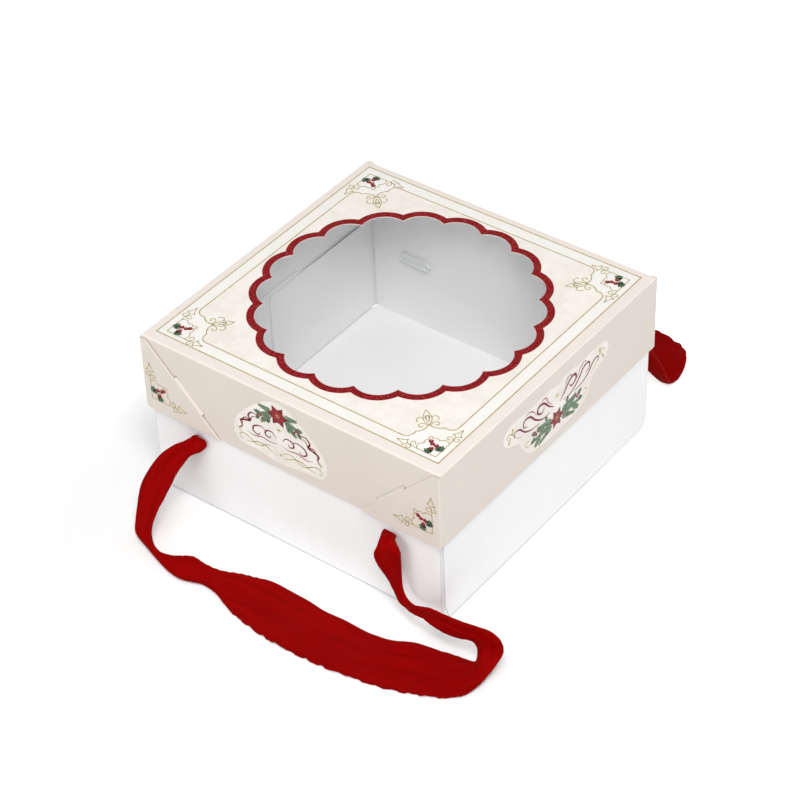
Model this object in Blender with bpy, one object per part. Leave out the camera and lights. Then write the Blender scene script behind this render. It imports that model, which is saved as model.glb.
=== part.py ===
"""Folding-board gift box for a cake ring: a white tray, a printed telescoping lid with a scalloped window,
and two satin ribbon handles. Metres, +Z up, origin at the middle of the tray's underside.
The front wall, with the nearer handle, faces -Y."""

import math

import bmesh
import bpy
from mathutils import Vector

# Board and clearance
BOARD = 0.0005
FIT_GAP = 0.0003
LAYER = BOARD + FIT_GAP

# Lid
LID_SIDE = 0.250
BOX_HEIGHT = 0.131
SKIRT_DEPTH = 0.061
WEB_START = 0.003
LOCK_TOP_DEPTH = 0.025
LOCK_BOTTOM_DEPTH = 0.047
LOCK_STEP = 0.0008
LOCK_SLOPE = 0.0020
LOCK_TONGUE = 0.0070
LOCK_TAPER = 0.0030
SLIT_WIDTH = 0.0021
SLIT_END_GAP = 0.0006

# Window in the lid
SCALLOP_COUNT = 20
SCALLOP_CROWN_RADIUS = 0.0998
SCALLOP_ARC_RADIUS = 0.0181
WINDOW_TO_LEFT = 0.0026
WINDOW_TO_BACK = 0.0032
FILM_THICKNESS = 0.0002
FILM_SIDE = 0.214
FILM_CORNER = 0.010

# Tray
TRAY_FOLD_RADIUS = 0.0010
TRAY_CORNER_RADIUS = 0.00225
RELIEF_ALONG = 0.004
RELIEF_UP = 0.012
FRONT_FLAP_LENGTH = 0.162
FRONT_FLAP_HEIGHT = 0.086
BACK_FLAP_LENGTH = 0.120
BACK_FLAP_HEIGHT = 0.082
FLAP_CORNER_RADIUS = 0.005

# Ribbon slots, and the bars that hold the ribbon ends
SLOT_SPACING = 0.162
SLOT_HEIGHT = 0.058
SLOT_WIDTH = 0.0110
SLOT_TALL = 0.0042
BAR_LENGTH = 0.028
BAR_TALL = 0.0078
BAR_THICKNESS = 0.0024
BAR_RIM = 0.0011
BAR_RECESS = 0.0006
BAR_EDGE = 0.0004
BAR_POCKET = 0.0012

# Ribbon
RIBBON_WIDTH = 0.042
HANDLE_REACH = 0.060
NOSE_RADIUS = 0.0055

# Facets
FOLD_STEPS = 4
SCALLOP_STEPS = 12
SLOT_STEPS = 6
RIBBON_SIDES = 10
RIBBON_STEPS = 2
NOSE_STEPS = 3
WELD = 0.00001
CUT_OVERRUN = 0.002

# Each row is a place on a ribbon handle, from its left slot to its right one, seen from outside the wall.
# The columns are across in half slot spacings, outwards in handle reaches, up in slot heights, width in
# ribbon widths, thickness in nose diameters, and which way the width points: across, outwards, up.
FRONT_RIBBON_SHARES = (
    (-1.000, 0.000, 1.000, 0.26, 1.00, 0.00, 0.00, 1.00),
    (-1.019, 0.083, 0.990, 0.29, 0.82, -0.16, 0.00, 0.99),
    (-1.071, 0.175, 0.920, 0.35, 0.59, -0.37, 0.14, 0.92),
    (-1.127, 0.292, 0.815, 0.41, 0.41, -0.73, 0.12, 0.67),
    (-1.167, 0.388, 0.641, 0.45, 0.33, -0.96, 0.13, 0.24),
    (-1.187, 0.500, 0.474, 0.47, 0.31, -0.99, 0.15, 0.05),
    (-1.179, 0.629, 0.297, 0.40, 0.31, -0.96, 0.21, -0.21),
    (-1.151, 0.750, 0.121, 0.37, 0.31, -0.93, 0.19, -0.32),
    (-1.065, 0.846, 0.080, 0.33, 0.29, -0.97, 0.04, -0.24),
    (-0.910, 0.925, 0.070, 0.22, 0.29, -0.92, 0.22, -0.32),
    (-0.765, 0.946, 0.060, 0.26, 0.27, 0.00, 0.96, -0.27),
    (-0.623, 0.925, 0.060, 0.42, 0.25, 0.40, 0.90, -0.17),
    (-0.463, 0.871, 0.065, 0.44, 0.24, 0.59, 0.78, -0.19),
    (-0.321, 0.867, 0.055, 0.53, 0.22, 0.72, 0.68, -0.12),
    (-0.148, 0.867, 0.037, 0.68, 0.16, 0.49, 0.87, -0.03),
    (0.130, 0.842, 0.026, 0.99, 0.13, 0.27, 0.96, -0.00),
    (0.432, 0.850, 0.024, 1.10, 0.12, 0.30, 0.95, 0.00),
    (0.790, 0.858, 0.024, 1.04, 0.12, 0.27, 0.96, 0.00),
    (1.173, 0.808, 0.024, 1.00, 0.12, 0.24, 0.97, 0.00),
    (1.481, 0.717, 0.024, 1.03, 0.12, 0.37, 0.93, 0.00),
    (1.753, 0.600, 0.024, 0.98, 0.12, 0.39, 0.92, 0.00),
    (1.954, 0.504, 0.031, 0.89, 0.14, 0.44, 0.90, -0.01),
    (2.074, 0.388, 0.059, 0.70, 0.16, 0.55, 0.84, -0.07),
    (2.105, 0.267, 0.116, 0.52, 0.20, 0.78, 0.59, -0.21),
    (2.105, 0.179, 0.194, 0.47, 0.22, 0.96, 0.18, -0.23),
    (2.083, 0.138, 0.284, 0.54, 0.24, 0.99, -0.11, 0.04),
    (2.040, 0.138, 0.366, 0.61, 0.24, 0.91, -0.17, 0.37),
    (1.944, 0.154, 0.401, 0.60, 0.24, 0.80, -0.18, 0.58),
    (1.790, 0.175, 0.388, 0.53, 0.24, 0.72, -0.14, 0.68),
    (1.642, 0.171, 0.375, 0.43, 0.24, 0.66, -0.08, 0.74),
    (1.494, 0.146, 0.358, 0.32, 0.27, 0.52, -0.04, 0.85),
    (1.370, 0.129, 0.306, 0.21, 0.33, 0.46, -0.17, 0.87),
    (1.269, 0.083, 0.259, 0.14, 0.38, 0.42, -0.34, 0.84),
    (1.176, 0.067, 0.345, 0.16, 0.45, 0.67, -0.45, 0.59),
    (1.135, 0.071, 0.530, 0.26, 0.50, 0.73, -0.33, 0.61),
    (1.082, 0.083, 0.746, 0.42, 0.50, 0.92, -0.23, 0.31),
    (1.070, 0.090, 0.885, 0.38, 0.45, 0.94, -0.20, 0.26),
    (1.040, 0.070, 0.980, 0.30, 0.55, 0.97, -0.10, 0.20),
    (1.000, 0.000, 1.000, 0.26, 1.00, 1.00, 0.00, 0.00),
)
BACK_RIBBON_SHARES = (
    (-1.000, 0.000, 1.000, 0.26, 1.00, 0.00, 0.00, 1.00),
    (-1.025, 0.083, 0.990, 0.29, 0.82, -0.16, 0.00, 0.99),
    (-1.086, 0.179, 0.914, 0.34, 0.59, -0.42, 0.10, 0.90),
    (-1.173, 0.292, 0.746, 0.37, 0.41, -0.64, 0.19, 0.74),
    (-1.259, 0.388, 0.543, 0.35, 0.33, -0.82, 0.31, 0.48),
    (-1.321, 0.471, 0.349, 0.33, 0.31, -0.94, 0.33, 0.11),
    (-1.358, 0.542, 0.186, 0.25, 0.29, -0.95, 0.28, -0.15),
    (-1.389, 0.617, 0.086, 0.19, 0.27, -0.73, 0.61, -0.29),
    (-1.414, 0.721, 0.055, 0.26, 0.22, -0.27, 0.96, 0.00),
    (-1.380, 0.833, 0.060, 0.51, 0.16, -0.16, 0.98, 0.08),
    (-1.281, 0.933, 0.057, 0.73, 0.14, -0.31, 0.95, 0.08),
    (-1.142, 1.033, 0.047, 0.91, 0.13, -0.39, 0.92, 0.06),
    (-0.944, 1.087, 0.036, 1.01, 0.13, -0.35, 0.93, 0.03),
    (-0.704, 1.108, 0.028, 1.05, 0.13, -0.32, 0.95, 0.01),
    (-0.401, 1.108, 0.024, 1.03, 0.12, -0.25, 0.97, 0.00),
    (-0.025, 1.067, 0.024, 1.02, 0.12, -0.19, 0.98, 0.00),
    (0.377, 1.025, 0.024, 1.01, 0.12, -0.12, 0.99, 0.00),
    (0.765, 1.008, 0.024, 1.00, 0.12, 0.00, 1.00, 0.00),
    (1.142, 0.996, 0.024, 1.00, 0.12, 0.12, 0.99, 0.00),
    (1.475, 0.954, 0.026, 0.98, 0.12, 0.27, 0.96, -0.00),
    (1.722, 0.850, 0.040, 0.93, 0.14, 0.44, 0.90, -0.04),
    (1.877, 0.679, 0.082, 0.79, 0.16, 0.54, 0.83, -0.11),
    (1.914, 0.500, 0.172, 0.65, 0.20, 0.70, 0.70, -0.15),
    (1.861, 0.354, 0.272, 0.53, 0.22, 0.83, 0.56, -0.02),
    (1.731, 0.263, 0.345, 0.46, 0.22, 0.86, 0.44, 0.26),
    (1.571, 0.204, 0.388, 0.40, 0.24, 0.81, 0.33, 0.48),
    (1.414, 0.163, 0.435, 0.34, 0.27, 0.70, 0.25, 0.67),
    (1.272, 0.163, 0.543, 0.31, 0.33, 0.70, 0.12, 0.70),
    (1.167, 0.167, 0.707, 0.31, 0.40, 0.78, 0.08, 0.62),
    (1.089, 0.150, 0.866, 0.28, 0.51, 0.84, 0.08, 0.54),
    (1.037, 0.096, 0.997, 0.25, 0.73, 0.87, 0.05, 0.49),
    (1.000, 0.000, 1.000, 0.26, 1.00, 1.00, 0.00, 0.00),
)

# Places worked out from the sizes above
LID_PLANE = LID_SIDE / 2 - BOARD / 2
LID_TOP = BOX_HEIGHT - BOARD / 2
HALF_LAYER = LAYER / 2
LID_FOLD_RADIUS = LAYER + HALF_LAYER
LID_FLAT = LID_PLANE - LID_FOLD_RADIUS
WEB_TOP = LID_TOP - LID_FOLD_RADIUS
TRAY_SIDE = LID_SIDE - 2 * (2 * BOARD + 2 * FIT_GAP)
TRAY_PLANE = TRAY_SIDE / 2 - BOARD / 2
TRAY_HEIGHT = BOX_HEIGHT - BOARD - FIT_GAP
TRAY_FOLD_TOP = BOARD / 2 + TRAY_FOLD_RADIUS
TRAY_WALL_END = TRAY_PLANE - TRAY_CORNER_RADIUS
FRONT_FLAP_PLANE = TRAY_PLANE - LAYER
BACK_FLAP_PLANE = TRAY_PLANE - 2 * LAYER
HINGE_OUT = TRAY_SIDE / 2 + 2 * FIT_GAP + NOSE_RADIUS


def clear_scene():
    for obj in list(bpy.data.objects):
        bpy.data.objects.remove(obj)


def make_material(name, colour, roughness, metallic=0.0, alpha=1.0):
    material = bpy.data.materials.new(name)
    material.use_nodes = True
    shader = material.node_tree.nodes["Principled BSDF"]
    shader.inputs["Base Color"].default_value = (*colour, 1)
    shader.inputs["Roughness"].default_value = roughness
    shader.inputs["Metallic"].default_value = metallic
    shader.inputs["Alpha"].default_value = alpha
    return material


def add_object(name, bm, material):
    mesh = bpy.data.meshes.new(name)
    bm.to_mesh(mesh)
    bm.free()
    obj = bpy.data.objects.new(name, mesh)
    bpy.context.collection.objects.link(obj)
    mesh.materials.append(material)
    return obj


def shade_round(obj, sharp_degrees):
    obj.data.shade_smooth()
    obj.data.set_sharp_from_angle(angle=math.radians(sharp_degrees))


def arc(centre, radius, start, end, steps):
    """Points of an arc in a plane, with its angles in degrees."""
    points = []
    for step in range(steps + 1):
        angle = math.radians(start + (end - start) * step / steps)
        points.append((centre[0] + radius * math.cos(angle), centre[1] + radius * math.sin(angle)))
    return points


def add_grid(bm, rows):
    """A strip of quads through rows of points that have the same count."""
    made = [[bm.verts.new(point) for point in row] for row in rows]
    for low, high in zip(made, made[1:]):
        for i in range(len(low) - 1):
            bm.faces.new((low[i], low[i + 1], high[i + 1], high[i]))


def add_face(bm, points):
    bm.faces.new([bm.verts.new(point) for point in points])


def add_pierced_face(bm, outline, holes):
    """A flat sheet inside an outline, open at each hole."""
    edges = []
    for loop in (outline, *holes):
        verts = [bm.verts.new(point) for point in loop]
        edges += [bm.edges.new((a, b)) for a, b in zip(verts, verts[1:] + verts[:1])]
    bmesh.ops.triangle_fill(bm, use_beauty=True, use_dissolve=False, edges=edges)


def mirrored(points, along_x, along_y):
    return [(x * along_x, y * along_y, z) for x, y, z in points]


def finish_board(name, bm, material):
    """Joins the creased panels into one sheet and gives it the board's thickness."""
    bmesh.ops.remove_doubles(bm, verts=bm.verts, dist=WELD)
    bmesh.ops.recalc_face_normals(bm, faces=bm.faces)
    sheet = add_object(name, bm, material)
    solid = sheet.modifiers.new("Board", "SOLIDIFY")
    solid.thickness = BOARD
    solid.offset = 0
    solid.use_even_offset = True
    return sheet


# Lid

def web_reach(depth):
    """How far the corner web's fold lies from the corner, at a depth below the lid's top: a 45 degree fold."""
    return WEB_START + depth - LID_FOLD_RADIUS - BOARD / 2


def web_inner_leaf(reach):
    """Plan of the web from the front wall's end, round the corner fold, to the slanted fold."""
    fold = arc((LID_FLAT, -LID_PLANE - HALF_LAYER), HALF_LAYER, 90, -90, FOLD_STEPS)
    return fold + [(LID_FLAT - reach, -LID_PLANE - LAYER)]


def web_fold(reach):
    """Plan of the slanted fold that joins the web's two leaves."""
    return arc((LID_FLAT - reach, -LID_PLANE - LAYER - HALF_LAYER), HALF_LAYER, 90, 270, FOLD_STEPS)


def web_outer_leaf(reach):
    """Plan of the web from the slanted fold, round the lid's corner, to the side wall."""
    outer = -LID_PLANE - 2 * LAYER
    bend = arc((LID_FLAT, outer + LID_FOLD_RADIUS), LID_FOLD_RADIUS, -90, 0, FOLD_STEPS)
    return [(LID_FLAT - reach, outer)] + bend + [(LID_PLANE, -LID_FLAT)]


def web_row(plan, depth):
    return [(x, y, BOX_HEIGHT - depth) for x, y in plan(web_reach(depth))]


def lock_path():
    """Top and bottom ends of the stretch of the slanted fold that carries the lock tongue, and its directions."""
    ends = []
    for depth in (LOCK_TOP_DEPTH, LOCK_BOTTOM_DEPTH):
        ends.append(Vector((LID_FLAT - web_reach(depth), 0, BOX_HEIGHT - depth)))
    along = (ends[1] - ends[0]).normalized()
    away = Vector((along.z, 0, -along.x))
    return ends, along, away


def lock_tongue():
    """Rows of the tongue: it steps off the web's outer leaf, dips through the wall's slit and lies behind the wall."""
    ends, along, away = lock_path()
    outside = Vector((0, -LID_PLANE - 2 * LAYER, 0))
    inside = Vector((0, -LID_PLANE + LAYER, 0))
    taper = along * LOCK_TAPER
    dip = LOCK_STEP + LOCK_SLOPE
    return (
        (ends[0] + outside, ends[1] + outside),
        (ends[0] + outside + away * LOCK_STEP, ends[1] + outside + away * LOCK_STEP),
        (ends[0] + inside + away * dip, ends[1] + inside + away * dip),
        (
            ends[0] + inside + taper + away * (dip + LOCK_TONGUE),
            ends[1] + inside - taper + away * (dip + LOCK_TONGUE),
        ),
    )


def lock_slit():
    """The slit in the front wall, where the tongue's slope crosses it."""
    ends, along, away = lock_path()
    crossing = LOCK_STEP + LOCK_SLOPE * 2 / 3
    wall = Vector((0, -LID_PLANE, 0))
    near = away * (crossing - SLIT_WIDTH / 2)
    far = away * (crossing + SLIT_WIDTH / 2)
    spare = along * SLIT_END_GAP
    corners = (ends[0] - spare + near, ends[1] + spare + near, ends[1] + spare + far, ends[0] - spare + far)
    return [tuple(wall + corner) for corner in corners]


def add_web_corner(bm, along_x, along_y):
    """One folded web: two leaves laid over the front or back wall, with a lock tongue in the middle of the fold."""
    top = LID_FOLD_RADIUS + BOARD / 2
    depths = (top, LOCK_TOP_DEPTH, LOCK_BOTTOM_DEPTH, SKIRT_DEPTH)
    for plan in (web_inner_leaf, web_fold, web_outer_leaf):
        for high, low in zip(depths, depths[1:]):
            if plan is web_fold and high == LOCK_TOP_DEPTH:
                continue
            rows = [web_row(plan, high), web_row(plan, low)]
            add_grid(bm, [mirrored(row, along_x, along_y) for row in rows])
    rows = [[tuple(point) for point in row] for row in lock_tongue()]
    add_grid(bm, [mirrored(row, along_x, along_y) for row in rows])


def lid_wall_outline():
    """The front wall from its top crease to its rim, with its ends at the webs' corner folds."""
    top = LID_FOLD_RADIUS + BOARD / 2
    depths = (top, LOCK_TOP_DEPTH, LOCK_BOTTOM_DEPTH, SKIRT_DEPTH)
    right = [(LID_FLAT, -LID_PLANE, BOX_HEIGHT - depth) for depth in depths]
    return right + mirrored(reversed(right), -1, 1)


def add_lid_creases(bm):
    """The four rounded creases between the top panel and the walls."""
    fold = arc((LID_FLAT, WEB_TOP), LID_FOLD_RADIUS, 90, 0, FOLD_STEPS)
    for side in (-1, 1):
        add_grid(bm, [[(x, side * out, z) for out, z in fold] for x in (-LID_FLAT, LID_FLAT)])
        add_grid(bm, [[(side * out, y, z) for out, z in fold] for y in (-LID_FLAT, LID_FLAT)])


def add_lid_side_wall(bm, side):
    """A side wall runs on into the webs at both of its ends, so its ends are cut at the same depths."""
    top = LID_FOLD_RADIUS + BOARD / 2
    rows = []
    for depth in (top, LOCK_TOP_DEPTH, LOCK_BOTTOM_DEPTH, SKIRT_DEPTH):
        rows.append([(side * LID_PLANE, y, BOX_HEIGHT - depth) for y in (-LID_FLAT, LID_FLAT)])
    add_grid(bm, rows)


def window_outline():
    """Scallops round a circle a little off the panel's middle, each an arc from one cusp to the next."""
    half_pitch = math.pi / SCALLOP_COUNT
    centre = SCALLOP_CROWN_RADIUS - SCALLOP_ARC_RADIUS
    half_chord = centre * math.sin(half_pitch)
    cusp = centre * math.cos(half_pitch) + math.sqrt(SCALLOP_ARC_RADIUS**2 - half_chord**2)
    half_sweep = math.atan2(cusp * math.sin(half_pitch), cusp * math.cos(half_pitch) - centre)
    points = []
    for scallop in range(SCALLOP_COUNT):
        turn = (2 * scallop + 1) * half_pitch
        for step in range(SCALLOP_STEPS):
            angle = turn + half_sweep * (2 * step / SCALLOP_STEPS - 1)
            x = centre * math.cos(turn) + SCALLOP_ARC_RADIUS * math.cos(angle)
            y = centre * math.sin(turn) + SCALLOP_ARC_RADIUS * math.sin(angle)
            points.append((x - WINDOW_TO_LEFT, y + WINDOW_TO_BACK, LID_TOP))
    return points


def make_lid(material):
    """One printed blank: top panel with its window, four walls, and web corners folded over the front and back."""
    bm = bmesh.new()
    corners = [(LID_FLAT, LID_FLAT), (-LID_FLAT, LID_FLAT), (-LID_FLAT, -LID_FLAT), (LID_FLAT, -LID_FLAT)]
    add_pierced_face(bm, [(x, y, LID_TOP) for x, y in corners], [window_outline()])
    add_lid_creases(bm)
    slit = lock_slit()
    for along_y in (1, -1):
        slits = [mirrored(slit, along_x, along_y) for along_x in (1, -1)]
        add_pierced_face(bm, mirrored(lid_wall_outline(), 1, along_y), slits)
        for along_x in (1, -1):
            add_web_corner(bm, along_x, along_y)
    for side in (1, -1):
        add_lid_side_wall(bm, side)
    return finish_board("lid", bm, material)


def make_window_film(material):
    """Clear film with rounded corners, glued under the lid's top panel."""
    centre = FILM_SIDE / 2 - FILM_CORNER
    height = BOX_HEIGHT - BOARD - FIT_GAP - FILM_THICKNESS
    outline = []
    for quarter, (x, y) in enumerate(((1, 1), (-1, 1), (-1, -1), (1, -1))):
        start = 90 * quarter
        outline += arc((x * centre, y * centre), FILM_CORNER, start, start + 90, FOLD_STEPS)
    bm = bmesh.new()
    add_face(bm, [(x, y, height) for x, y in outline])
    film = add_object("window_film", bm, material)
    solid = film.modifiers.new("Film", "SOLIDIFY")
    solid.thickness = FILM_THICKNESS
    solid.offset = 1
    return film


# Tray

def add_end_wall(bm, side, flap_plane, flap_length, flap_height):
    """A front or back wall with its floor crease, its rounded upright folds and its two long corner flaps."""
    flat = flap_plane - TRAY_CORNER_RADIUS
    out = side * TRAY_PLANE
    bend = arc((flat, -TRAY_WALL_END), TRAY_CORNER_RADIUS, -90, 0, FOLD_STEPS)
    right = [(x, -side * y) for x, y in bend]
    plan = [(-x, y) for x, y in reversed(right)] + right
    rows = [[(x, y, z) for x, y in plan] for z in (TRAY_FOLD_TOP, flap_height, TRAY_HEIGHT)]
    add_grid(bm, rows)
    crease = arc((TRAY_PLANE - TRAY_FOLD_RADIUS, TRAY_FOLD_TOP), TRAY_FOLD_RADIUS, 0, -90, FOLD_STEPS)
    add_grid(bm, [[(x, side * y, z) for y, z in crease] for x in (-flat, flat)])
    flap_end = out - side * flap_length
    for x in (-flap_plane, flap_plane):
        root = side * TRAY_WALL_END
        rows = [[(x, y, z) for y in (root, flap_end)] for z in (TRAY_FOLD_TOP, flap_height)]
        add_grid(bm, rows)


def add_side_wall(bm, side):
    """A side wall with its floor crease; its lower corners are cut back to clear the corner folds."""
    foot = TRAY_WALL_END - RELIEF_ALONG
    chamfer = TRAY_FOLD_TOP + RELIEF_UP
    half = [(foot, TRAY_FOLD_TOP), (TRAY_WALL_END, chamfer), (TRAY_WALL_END, TRAY_HEIGHT)]
    outline = half + [(-y, z) for y, z in reversed(half)]
    add_face(bm, [(side * TRAY_PLANE, y, z) for y, z in outline])
    crease = arc((TRAY_PLANE - TRAY_FOLD_RADIUS, TRAY_FOLD_TOP), TRAY_FOLD_RADIUS, 0, -90, FOLD_STEPS)
    add_grid(bm, [[(side * x, y, z) for x, z in crease] for y in (-foot, foot)])


def add_floor(bm):
    edge = TRAY_PLANE - TRAY_FOLD_RADIUS
    front = FRONT_FLAP_PLANE - TRAY_CORNER_RADIUS
    back = BACK_FLAP_PLANE - TRAY_CORNER_RADIUS
    foot = TRAY_WALL_END - RELIEF_ALONG
    right = [(front, -edge), (edge, -foot), (edge, foot), (back, edge)]
    outline = right + [(-x, y) for x, y in reversed(right)]
    add_face(bm, [(x, y, BOARD / 2) for x, y in outline])


def round_flap_ends(bm):
    """Rounds the free corners of the flaps, which are the corners that only one face holds, inside the walls."""
    inner = BACK_FLAP_PLANE - WELD
    outer = FRONT_FLAP_PLANE + WELD
    free = [v for v in bm.verts if len(v.link_faces) == 1 and inner < abs(v.co.x) < outer]
    bmesh.ops.bevel(bm, geom=free, offset=FLAP_CORNER_RADIUS, segments=FOLD_STEPS, profile=0.5, affect="VERTICES")


def slot_outline(width, tall, steps):
    """A flat-sided slot with round ends, in across and up."""
    radius = tall / 2
    straight = width / 2 - radius
    return arc((straight, 0), radius, -90, 90, steps) + arc((-straight, 0), radius, 90, 270, steps)


def loft(sections):
    """A closed solid through rings of points that have the same count."""
    bm = bmesh.new()
    rings = [[bm.verts.new(point) for point in ring] for ring in sections]
    for low, high in zip(rings, rings[1:]):
        for i in range(len(low)):
            j = (i + 1) % len(low)
            bm.faces.new((low[i], low[j], high[j], high[i]))
    bm.faces.new(rings[0])
    bm.faces.new(rings[-1])
    bmesh.ops.recalc_face_normals(bm, faces=bm.faces)
    return bm


def add_cutter(name, bm):
    cutter = add_object(name, bm, None)
    cutter.hide_render = True
    cutter.display_type = "WIRE"
    return cutter


def cut(obj, cutter):
    boolean = obj.modifiers.new(cutter.name, "BOOLEAN")
    boolean.operation = "DIFFERENCE"
    boolean.object = cutter


def make_tray(material):
    """One white blank: floor, four walls and four corner flaps that lap over each other inside the side walls."""
    bm = bmesh.new()
    add_floor(bm)
    add_end_wall(bm, -1, FRONT_FLAP_PLANE, FRONT_FLAP_LENGTH, FRONT_FLAP_HEIGHT)
    add_end_wall(bm, 1, BACK_FLAP_PLANE, BACK_FLAP_LENGTH, BACK_FLAP_HEIGHT)
    for side in (-1, 1):
        add_side_wall(bm, side)
    bmesh.ops.remove_doubles(bm, verts=bm.verts, dist=WELD)
    round_flap_ends(bm)
    tray = finish_board("base_tray", bm, material)
    ends = (-TRAY_SIDE / 2 - CUT_OVERRUN, TRAY_SIDE / 2 + CUT_OVERRUN)
    for side, x in (("left", -SLOT_SPACING / 2), ("right", SLOT_SPACING / 2)):
        outline = slot_outline(SLOT_WIDTH, SLOT_TALL, SLOT_STEPS)
        rings = [[(x + across, y, SLOT_HEIGHT + up) for across, up in outline] for y in ends]
        cut(tray, add_cutter(side + "_slot_cutter", loft(rings)))
    return tray


# Ribbon ends and their bars

def in_slot_frame(x, side, points):
    """Places across, outwards and up at a slot as world points; outwards starts at the wall's outer face."""
    return [(x + across * -side, side * (TRAY_SIDE / 2 + out), SLOT_HEIGHT + up) for across, out, up in points]


def make_bar(name, x, side, material):
    """A flat moulded bar with a raised rim, lying inside the wall; its pocket grips the ribbon's gathered end."""
    inner = -BOARD - FIT_GAP
    deep = inner - BAR_THICKNESS
    outline = slot_outline(BAR_LENGTH, BAR_TALL, SLOT_STEPS)
    rings = [in_slot_frame(x, side, [(a, out, u) for a, u in outline]) for out in (inner, deep)]
    bm = loft(rings)
    bm.faces.ensure_lookup_table()
    caps = sorted(bm.faces, key=lambda face: face.calc_area())[-2:]
    face = min(caps, key=lambda cap: abs(cap.calc_center_median().y))
    bmesh.ops.inset_region(bm, faces=[face], thickness=BAR_RIM, depth=0)
    bmesh.ops.inset_region(bm, faces=[face], thickness=BAR_EDGE, depth=-BAR_RECESS)
    bar = add_object(name, bm, material)
    pocket = slot_outline(SLOT_WIDTH, SLOT_TALL, SLOT_STEPS)
    reach = (inner + CUT_OVERRUN, inner - BAR_POCKET)
    rings = [in_slot_frame(x, side, [(a, out, u) for a, u in pocket]) for out in reach]
    cut(bar, add_cutter(name + "_pocket_cutter", loft(rings)))
    return bar


def make_ribbon_end(name, x, side, material):
    """The gathered end of the ribbon, which passes through the wall's slot into the bar's pocket."""
    outline = slot_outline(SLOT_WIDTH - 2 * FIT_GAP, SLOT_TALL - 2 * FIT_GAP, SLOT_STEPS)
    reach = (FIT_GAP, -BOARD - BAR_POCKET)
    rings = [in_slot_frame(x, side, [(a, out, u) for a, u in outline]) for out in reach]
    end = add_object(name, loft(rings), material)
    shade_round(end, 40)
    return end


# Ribbon handles

def smooth_row(rows, index, share):
    """A row between rows index and index + 1 on a smooth curve through all of them."""
    last = len(rows) - 1
    near = [rows[max(0, min(last, index + step))] for step in (-1, 0, 1, 2)]
    values = []
    for a, b, c, d in zip(*near):
        bend = 2 * a - 5 * b + 4 * c - d
        turn = 3 * b - a - 3 * c + d
        values.append(b + share * (c - a + share * (bend + share * turn)) / 2)
    return values


def ribbon_places(shares):
    """Centre, width, thickness and the direction of the width along a handle, seen from outside its wall."""
    places = []
    for index in range(len(shares) - 1):
        for step in range(RIBBON_STEPS):
            places.append(smooth_row(shares, index, step / RIBBON_STEPS))
    places.append(shares[-1])
    found = []
    for across, out, up, width, thickness, *heading in places:
        centre = Vector((across * SLOT_SPACING / 2, -HINGE_OUT - out * HANDLE_REACH, up * SLOT_HEIGHT))
        flat = Vector((heading[0], -heading[1], heading[2]))
        found.append((centre, width * RIBBON_WIDTH, thickness * 2 * NOSE_RADIUS, flat))
    return found


def ribbon_section(centre, flat, face, width, thickness):
    ring = []
    for corner in range(RIBBON_SIDES):
        angle = 2 * math.pi * corner / RIBBON_SIDES
        ring.append(centre + flat * (width / 2 * math.cos(angle)) + face * (thickness / 2 * math.sin(angle)))
    return ring


def nose_rings(place, run, outwards):
    """Rings of a round nose about the hinge line, so that the ribbon turns against its slot without rubbing."""
    centre, width, thickness, flat = place
    face = flat.cross(run)
    rings = []
    for step in range(1, NOSE_STEPS + 1):
        angle = math.pi / 2 * (1 - step / (NOSE_STEPS + 1))
        back = centre - outwards * (NOSE_RADIUS * math.sin(angle))
        share = math.cos(angle)
        rings.append(ribbon_section(back, flat, face, width * share, thickness * share))
    return rings


def make_ribbon(name, shares, side, material):
    """A satin ribbon handle: gathered at its slots, folded lengthwise down to the table, then spread flat."""
    places = ribbon_places(shares)
    outwards = Vector((0, -1, 0))
    rings = nose_rings(places[0], outwards, outwards)
    last = len(places) - 1
    for index, (centre, width, thickness, heading) in enumerate(places):
        run = places[min(index + 1, last)][0] - places[max(index - 1, 0)][0]
        if index in (0, last):
            run = outwards if index == 0 else -outwards
        flat = heading.normalized()
        face = flat.cross(run).normalized()
        rings.append(ribbon_section(centre, flat, face, width, thickness))
    closing = nose_rings(places[-1], -outwards, outwards)
    closing.reverse()
    rings += closing
    bm = loft([[(p.x * -side, p.y * -side, p.z) for p in ring] for ring in rings])
    ribbon = add_object(name, bm, material)
    shade_round(ribbon, 60)
    return ribbon


def make_handle(prefix, shares, side, satin, plastic):
    """One handle: the free ribbon on an empty at its hinge line, its two gathered ends and their bars."""
    ribbon = make_ribbon(prefix + "_ribbon", shares, side, satin)
    hinge = bpy.data.objects.new(prefix + "_handle_hinge", None)
    bpy.context.collection.objects.link(hinge)
    hinge.location = (0, side * HINGE_OUT, SLOT_HEIGHT)
    ribbon.parent = hinge
    ribbon.matrix_parent_inverse.translation = (0, -side * HINGE_OUT, -SLOT_HEIGHT)
    for word, x in (("left", -SLOT_SPACING / 2), ("right", SLOT_SPACING / 2)):
        make_ribbon_end(f"{prefix}_{word}_ribbon_end", x, side, satin)
        make_bar(f"{prefix}_{word}_t_bar", x, side, plastic)


def main():
    clear_scene()
    printed_board = make_material("printed_board", (0.89, 0.83, 0.77), 0.45)
    white_board = make_material("white_board", (0.93, 0.93, 0.93), 0.5)
    clear_film = make_material("clear_film", (0.95, 0.97, 0.98), 0.05, alpha=0.25)
    red_satin = make_material("red_satin", (0.31, 0.002, 0.002), 0.38)
    white_plastic = make_material("white_plastic", (0.86, 0.86, 0.86), 0.3)
    make_tray(white_board)
    make_lid(printed_board)
    make_window_film(clear_film)
    make_handle("front", FRONT_RIBBON_SHARES, -1, red_satin, white_plastic)
    make_handle("back", BACK_RIBBON_SHARES, 1, red_satin, white_plastic)


main()
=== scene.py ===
"""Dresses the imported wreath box: printed and foiled lid, clear film, white board tray, moulded bars
and two satin ribbon handles. Metres, +Z up; the front wall, with the nearer handle, faces -Y."""

import math

import bmesh
import bpy
from mathutils import Matrix, Vector


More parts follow.
